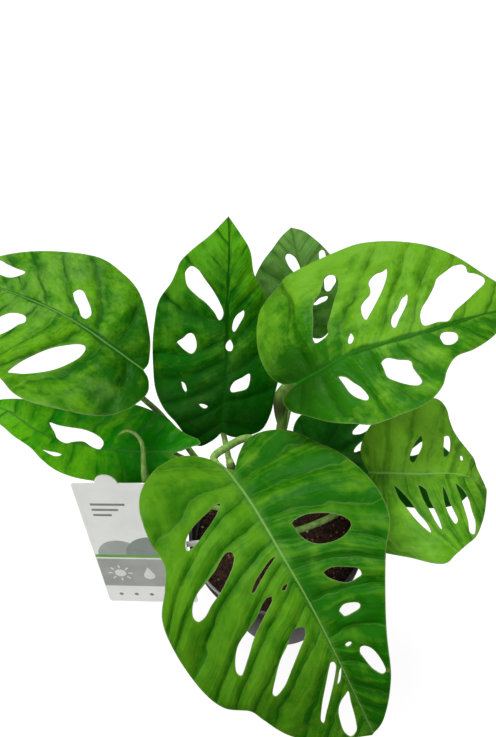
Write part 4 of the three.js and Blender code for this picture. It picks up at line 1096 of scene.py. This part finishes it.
def pot_piece():
    """The wall turned about the axis, and a floor with drain holes between the two ends of its profile."""
    wall, floor, height, sides = (POT[key] for key in ("wall", "floor", "height", "sides"))
    rim, base = POT["rim_radius"], POT["base_radius"]
    band_z, lip_z = height - POT["band_height"], height - POT["lip_height"]
    outer = rim - POT["lip_out"]
    neck = outer - POT["band_step"]
    disc = base - POT["foot_ring"]
    profile = rounded([
        (disc, 0), (base, 0), (neck, band_z), (outer, band_z + POT["band_slope"]), (outer, lip_z),
        (rim, lip_z + POT["lip_slope"]), (rim, height), (outer - wall, height),
        (outer - wall, band_z + POT["inner_slope"]), (neck - wall, band_z),
        (base - wall, floor), (disc, floor),
    ])
    faces = []
    for i in range(len(profile) - 1):
        faces += band(i * sides, (i + 1) * sides, sides)

    loops = [ring(disc, sides)]
    for i in range(POT["drains"]):
        angle = 2 * math.pi * (i + 0.5) / POT["drains"]
        centre = POT["drain_circle"] * np.array([math.cos(angle), math.sin(angle)])
        loops.append(centre + ring(POT["drain_radius"], POT["drain_sides"]))
    flat, triangles = filled(np.vstack(loops), loop_links(loops), loops)
    under = len(profile) * sides
    over = under + len(flat)
    faces += [(a + under, c + under, b + under) for a, b, c in triangles]
    faces += [(a + over, b + over, c + over) for a, b, c in triangles]
    drain_walls = [(a, b) for a, b in rim_edges(triangles) if np.linalg.norm(flat[a]) < disc - 1]
    faces += [(a + under, a + over, b + over, b + under) for a, b in drain_walls]

    rings = [at_height(ring(radius, sides), z) for radius, z in profile]
    corners = np.vstack([*rings, at_height(flat, 0), at_height(flat, floor)])
    piece = make_piece("nursery_pot", corners, faces, [POT_PLASTIC], "pot", "pot")
    # the outside is painted paler than the inside, from just under the band down: painted shade inside, the
    # floor's painted reflection outside
    radius, z = np.hypot(corners[:, 0], corners[:, 1]), corners[:, 2]
    outside = radius > base - 1 + (neck - base) * z / band_z
    add_numbers(piece, "tone", np.where(outside, np.clip((band_z - 6 - z) / 4, 0.05, 1), 0.0))
    piece.modifiers.new("weld", "WELD").merge_threshold = 0.01 * MM


def stem_feet():
    """Where each stem comes out of the soil, and its radius there."""
    return [(*stem["points"][1][:2], stem["radii"][1]) for stem in STEMS.values()]


def soil_height(x, y):
    """Loose soil: clods and crumbs, heaped a little round each stem."""
    points = np.stack([x, y, np.zeros(len(x))], -1)
    crown = SOIL["crown"] * np.clip(1 - np.hypot(x, y) / SOIL["crown_reach"], 0, 1)
    level = SOIL["top_z"] + crown - SOIL["sunk"]
    for foot_x, foot_y, radius in stem_feet():
        away = np.hypot(x - foot_x, y - foot_y) / (radius + SOIL["mound_reach"])
        level = level + SOIL["mound"] * np.exp(-(away**2))
    (clod_size, clod_height), (crumb_size, crumb_height) = SOIL["clods"], SOIL["crumbs"]
    level = level + clod_height * fractal(points, clod_size, 3, 3)
    return level + crumb_height * np.abs(fractal(points, crumb_size, 5, 3))


def soil_piece():
    """Rings of loose soil, with a side and an underside that follow the pot."""
    clear = POT["wall"] + GAP + SOIL["play"]
    reach = POT["rim_radius"] - POT["lip_out"] - POT["band_step"] - clear
    foot, bottom = POT["base_radius"] - clear, POT["floor"] + GAP
    shoulder_z = POT["height"] - POT["band_height"] - 6
    rings, sides = int(reach / SOIL["ring_step"]), SOIL["sides"]
    flat = np.vstack([np.zeros((1, 2)), *(ring(reach * i / rings, sides) for i in range(1, rings + 1))])
    z = np.minimum(soil_height(*flat.T), SOIL["top_z"] + SOIL["crown"] - 0.1)
    below = [(reach - 0.4, shoulder_z), (foot, bottom), (foot - 6, bottom)]
    rows = [at_height(ring(radius, sides), low) for radius, low in below]
    corners = np.vstack([np.column_stack([flat, z]), *rows])
    faces = [(0, 1 + k, 1 + (k + 1) % sides) for k in range(sides)]
    last = 1 + sides * (rings - 1 + len(below))
    for first in range(1, last, sides):
        faces += band(first, first + sides, sides, flipped=True)
    faces.append(tuple(range(last, last + sides))[::-1])
    make_piece("potting_soil", corners, faces, [SOIL_CRUMB], "soil", "soil")


def round_lump():
    """An octahedron with each face cut in four, and all its corners on a ball."""
    ends = [(0, 0, 1), (0, 0, -1), (1, 0, 0), (-1, 0, 0), (0, 1, 0), (0, -1, 0)]
    corners = [np.array(p, float) for p in ends]
    cuts, faces = {}, []
    for a, b, c in [(0, 2, 4), (0, 4, 3), (0, 3, 5), (0, 5, 2), (1, 4, 2), (1, 3, 4), (1, 5, 3), (1, 2, 5)]:
        sides = [frozenset(pair) for pair in ((a, b), (b, c), (c, a))]
        for side in sides:
            if side not in cuts:
                cuts[side] = len(corners)
                corners.append(unit(sum(corners[end] for end in side)))
        ab, bc, ca = (cuts[side] for side in sides)
        faces += [(a, ab, ca), (b, bc, ab), (c, ca, bc), (ab, bc, ca)]
    return np.array(corners), faces


def crumb(rng, size):
    """The points of one rough lump, stretched, dented and turned."""
    stretch = np.array([rng.uniform(0.6, 1.3) for _ in range(3)])
    dents = np.array([[rng.uniform(0.75, 1.15)] for _ in LUMP[0]])
    angle = rng.uniform(0, 6.28)
    axis = Vector((rng.uniform(-1, 1), rng.uniform(-1, 1), 1))
    return (LUMP[0] * dents * stretch * size) @ np.array(Matrix.Rotation(angle, 3, axis)).T


def crumb_places(rng):
    """Places all over the soil, and more of them round each stem."""
    places = []
    for _ in range(CRUMBS["loose"]):
        angle = rng.uniform(0, 2 * math.pi)
        radius = CRUMBS["reach"] * math.sqrt(rng.random())
        places.append((radius * math.cos(angle), radius * math.sin(angle)))
    for foot_x, foot_y, stem_radius in stem_feet():
        for _ in range(CRUMBS["per_stem"]):
            angle = rng.uniform(0, 2 * math.pi)
            radius = stem_radius + CRUMBS["stem_reach"] * rng.random() ** 2
            places.append((foot_x + radius * math.cos(angle), foot_y + radius * math.sin(angle)))
    return places


def crumbs_piece():
    """Crumbs, bark and a few pale grains lying on the soil."""
    rng = random.Random(7)
    parts, kinds = [], []
    for x, y in crumb_places(rng):
        kind = rng.choices([0, 1, 2], CRUMBS["shares"])[0]
        size = rng.uniform(*CRUMBS["size"]) * (CRUMBS["bark_size"] if kind == 1 else 1)
        points = crumb(rng, size)
        z = soil_height(np.array([x]), np.array([y]))[0] + size * 0.3
        parts.append((points + (x, y, z), LUMP[1]))
        kinds += [kind] * len(LUMP[1])
    corners, faces = joined(parts)
    materials = [SOIL_CRUMB, BARK, GRAIN]
    make_piece("soil_crumbs", corners, faces, materials, "soil", material_of=kinds, smooth=False)


# ---------------- label


def label_matrix():
    across = Vector(LABEL["width_axis"]).normalized()
    lean = math.radians(LABEL["lean_degrees"])
    back = Vector((-across.y, across.x, 0))
    upward = Vector((0, 0, math.cos(lean))) + back * math.sin(lean)
    axes = Matrix((across, upward, across.cross(upward))).transposed().to_4x4()
    return Matrix.Translation(LABEL["corner"]) @ axes


def arc(x, y, radius, start=0, end=360, steps=10):
    """Points on an arc between two angles in degrees; a whole circle's last point is its first again."""
    angles = np.radians(np.linspace(start, end, steps + 1))
    return np.stack([x + radius * np.cos(angles), y + radius * np.sin(angles)], -1)


def box(x0, y0, x1, y1):
    return np.array([(x0, y0), (x1, y0), (x1, y1), (x0, y1)], float)


def label_part(loop, low, high):
    """Points and faces of a flat outline between two depths of the label."""
    count, place = len(loop), np.array(label_matrix())
    corners = np.vstack([at_height(loop, low), at_height(loop, high)])
    faces = [tuple(range(count))[::-1], tuple(range(count, 2 * count)), *band(0, count, count)]
    return corners @ place[:3, :3].T + place[:3, 3], faces


def label_marks():
    """The print as outlines, each with its ink and its layer. It has no words: three hills under a disc and
    three bars, and below them a stripe, a grey band with a sun, a drop and a scale, and five dots."""
    inner, right = 0.4, LABEL["width"] - 0.4
    ground, band_low, band_high = 54.5, 19, 50
    marks = [(box(inner, band_low, right, band_high), "band", 1)]
    marks.append((box(inner, 51.5, right, ground), "stripe", 1))
    marks += [(arc(10 + i * 11, 9, 1.5, steps=16)[:-1], "dots", 1) for i in range(5)]
    sun = np.array([14, 34])
    marks.append((arc(*sun, 4, steps=24)[:-1], "icons", 2))
    for i in range(8):
        cos, sin = math.cos(math.radians(i * 45)), math.sin(math.radians(i * 45))
        ray = box(5.6, -0.6, 8.6, 0.6) @ np.array([[cos, sin], [-sin, cos]])
        marks.append((ray + sun, "icons", 2))
    marks.append((np.vstack([arc(34, 31.5, 4, 150, 390, 20), [(34, 41)]]), "icons", 2))
    for i in range(4):
        marks.append((box(48, 28 + i * 4, 57 if i % 2 else 54, 29 + i * 4), "icons", 2))
    marks.append((arc(18, ground, 15, 0, 180, 30), "hill", 1))
    marks.append((arc(41, ground, 19, 0, 180, 30), "hill_far", 2))
    marks.append((arc(55, ground, 8.6, 0, 180, 20), "hill", 3))
    marks.append((arc(46, 92, 7, steps=30)[:-1], "disc", 1))
    return marks + [(box(8, 104 - i * 5, 30 - i * 5, 106 - i * 5), "dots", 1) for i in range(3)]


def label_pieces():
    width, height, thickness, r = (LABEL[key] for key in ("width", "height", "thickness", "corner_radius"))
    outline = np.vstack([
        arc(width - r, r, r, -90, 0), arc(width - r, height - r, r, 0, 90),
        arc(LABEL["tab_at"], height, LABEL["tab_radius"], 0, 180, 24),
        arc(r, height - r, r, 90, 180), arc(r, r, r, 180, 270),
    ])
    make_piece("label_board", *label_part(outline, 0, thickness), [CARD], "card", "label_card", smooth=False)
    parts, kinds = [], []
    face = thickness + LABEL["ink_gap"]
    for loop, ink, layer in label_marks():
        parts.append(label_part(loop, face, face + LABEL["ink_layer"] * layer))
        kinds += [list(INKS).index(ink)] * len(parts[-1][1])
    make_piece("label_print", *joined(parts), list(INKS.values()), "card", material_of=kinds, smooth=False)


def stake_depth():
    """The depth of the stake's middle, just behind the label's back face where they meet."""
    rise = STAKE["arm_z"] + STAKE["arm_height"] - LABEL["corner"][2]
    top = rise / math.cos(math.radians(LABEL["lean_degrees"]))
    back_face = label_matrix() @ Vector((STAKE["arm_from"] - LABEL["corner"][0], top, 0))
    return back_face.y + STAKE["thickness"] / 2 + 1.5 * GAP


def stake_piece():
    """An arm over the pot's rim and a pointed leg down into the soil."""
    arm_z, foot_z, leg_x, start = (STAKE[key] for key in ("arm_z", "foot_z", "leg_x", "arm_from"))
    top, right = arm_z + STAKE["arm_height"], leg_x + STAKE["leg_width"] / 2
    left, shoulder_z = right - STAKE["leg_width"], foot_z + STAKE["point"]
    big, small = STAKE["inner_round"], STAKE["outer_round"]
    outline = np.vstack([
        [(left - big, arm_z)], arc(left - big, arm_z - big, big, 90, 0, 5),
        [(left, shoulder_z), (leg_x, foot_z), (right, shoulder_z)],
        arc(right - big, top - big, big, 0, 90, 6), arc(start + small, top - small, small, 90, 180, 5),
        arc(start + small, arm_z + small, small, 180, 270, 5),
    ])
    y, half, count = stake_depth(), STAKE["thickness"] / 2, len(outline)
    # the outline stands upright, so its second number is a height
    corners = np.vstack([at_height(outline, depth)[:, [0, 2, 1]] for depth in (y - half, y + half)])
    faces = [tuple(range(count)), tuple(range(count, 2 * count))[::-1], *band(0, count, count, flipped=True)]
    piece = make_piece("label_peg", corners, faces, [PEG], "stake", "label_stake", smooth=False)
    soften = piece.modifiers.new("soften", "BEVEL")
    soften.width, soften.segments = STAKE["edge_round"] * MM, 2


# ---------------- build

RIM = leaf_rim_material()
STALK = stalk_material()
POT_PLASTIC = pot_material()
SOIL_CRUMB = soil_material()
BARK = speckled_material("bark", (0.03, 0.012, 0.006), (0.16, 0.07, 0.035), 500.0, 0.8)
GRAIN = speckled_material("pale_grain", (0.3, 0.26, 0.2), (0.5, 0.46, 0.4), 600.0, 0.8)
CARD = speckled_material("card_white", (0.92, 0.93, 0.88), (0.97, 0.98, 0.93), 60.0, 0.5)
PEG = speckled_material("peg_white", (0.6, 0.6, 0.58), (0.7, 0.7, 0.68), 80.0, 0.45)
INK_COLOURS = {
    "band": ((0.4, 0.41, 0.38), (0.46, 0.47, 0.44)), "stripe": ((0.16, 0.4, 0.08), (0.2, 0.46, 0.11)),
    "dots": ((0.24, 0.24, 0.24), (0.3, 0.3, 0.3)), "icons": ((0.8, 0.81, 0.78), (0.86, 0.87, 0.84)),
    "hill": ((0.4, 0.44, 0.4), (0.45, 0.49, 0.45)), "hill_far": ((0.26, 0.3, 0.27), (0.31, 0.35, 0.32)),
    "disc": ((0.3, 0.42, 0.22), (0.36, 0.48, 0.27)),
}
INKS = {name: speckled_material(f"ink_{name}", *colours, 70.0, 0.5) for name, colours in INK_COLOURS.items()}
LUMP = round_lump()

for leaf_name, leaf_data in LEAVES.items():
    leaf_piece(leaf_name, leaf_data)
for stem_name, stem_data in STEMS.items():
    stem_piece(stem_name, stem_data)
shoot_piece()
pot_piece()
soil_piece()
crumbs_piece()
label_pieces()
stake_piece()

# ---------------- studio

FLOOR = {"half_size": 20, "below": 0.0005}
# The sky brightens from below the horizon upward, by the upward part of its direction.
SKY = {"From Min": -0.5, "From Max": 0.4, "To Min": 0.1, "To Max": 0.62}
# Each lamp: the way towards it, its strength and how wide it looks, in degrees.
LAMPS = {"key": ((-0.1, 0.25, 0.95), 2.9, 30), "front": ((-0.45, -0.8, 0.5), 1.2, 70)}
# The focal length is in pixels of a frame 737 pixels tall, and the pitch is how far it looks down.
CAMERA = {"eye": (-8, -214, 484), "focal": 620.0, "frame": 737.0, "sensor": 36, "pitch": 46, "roll": -6}


def studio_floor():
    size = FLOOR["half_size"]
    mesh = bpy.data.meshes.new("studio_floor")
    corners = [(-size, -size, 0), (size, -size, 0), (size, size, 0), (-size, size, 0)]
    mesh.from_pydata(corners, [], [(0, 1, 2, 3)])
    mesh.materials.append(floor_material())
    floor = bpy.data.objects.new("studio_floor", mesh)
    floor.location.z = -FLOOR["below"]
    floor.visible_diffuse = False
    floor.visible_glossy = False
    bpy.context.scene.collection.objects.link(floor)


def studio_light():
    """Soft light from all of the sky and a little from below, a plain white backdrop, and two wide lamps."""
    world = Nodes(bpy.data.worlds.new("studio"))
    direction = world.node("ShaderNodeTexCoord").outputs["Generated"]
    upward = world.node("ShaderNodeSeparateXYZ", {0: direction}).outputs["Z"]
    strength = world.node("ShaderNodeMapRange", {"Value": upward, **SKY}).outputs["Result"]
    sky = world.tree.nodes["Background"]
    backdrop = world.node("ShaderNodeBackground", {"Color": (1, 1, 1)})
    world.feed(sky.inputs["Color"], (1, 1, 1))
    world.feed(sky.inputs["Strength"], strength)
    seen = world.node("ShaderNodeLightPath").outputs["Is Camera Ray"]
    shown = world.node("ShaderNodeMixShader", {0: seen, 1: sky.outputs[0], 2: backdrop.outputs[0]})
    world.feed(world.tree.nodes["World Output"].inputs["Surface"], shown.outputs[0])
    bpy.context.scene.world = world.data
    for name, (toward, energy, spread) in LAMPS.items():
        lamp = bpy.data.objects.new(name, bpy.data.lights.new(name, "SUN"))
        lamp.data.energy = energy
        lamp.data.angle = math.radians(spread)
        lamp.rotation_euler = (-Vector(toward)).to_track_quat("-Z", "Y").to_euler()
        bpy.context.scene.collection.objects.link(lamp)


def camera():
    data = bpy.data.cameras.new("camera")
    data.sensor_width = CAMERA["sensor"]
    data.lens = CAMERA["sensor"] * CAMERA["focal"] / CAMERA["frame"]
    data.clip_start, data.clip_end = 0.01, 100
    eye = bpy.data.objects.new("camera", data)
    place = Matrix.Translation(Vector(CAMERA["eye"]) * MM)
    tilt = Matrix.Rotation(math.radians(90 - CAMERA["pitch"]), 4, "X")
    eye.matrix_world = place @ tilt @ Matrix.Rotation(math.radians(CAMERA["roll"]), 4, "Z")
    bpy.context.scene.collection.objects.link(eye)
    bpy.context.scene.camera = eye


studio_floor()
studio_light()
camera()
bpy.context.scene.view_settings.view_transform = "Standard"

bpy.context.view_layer.update()
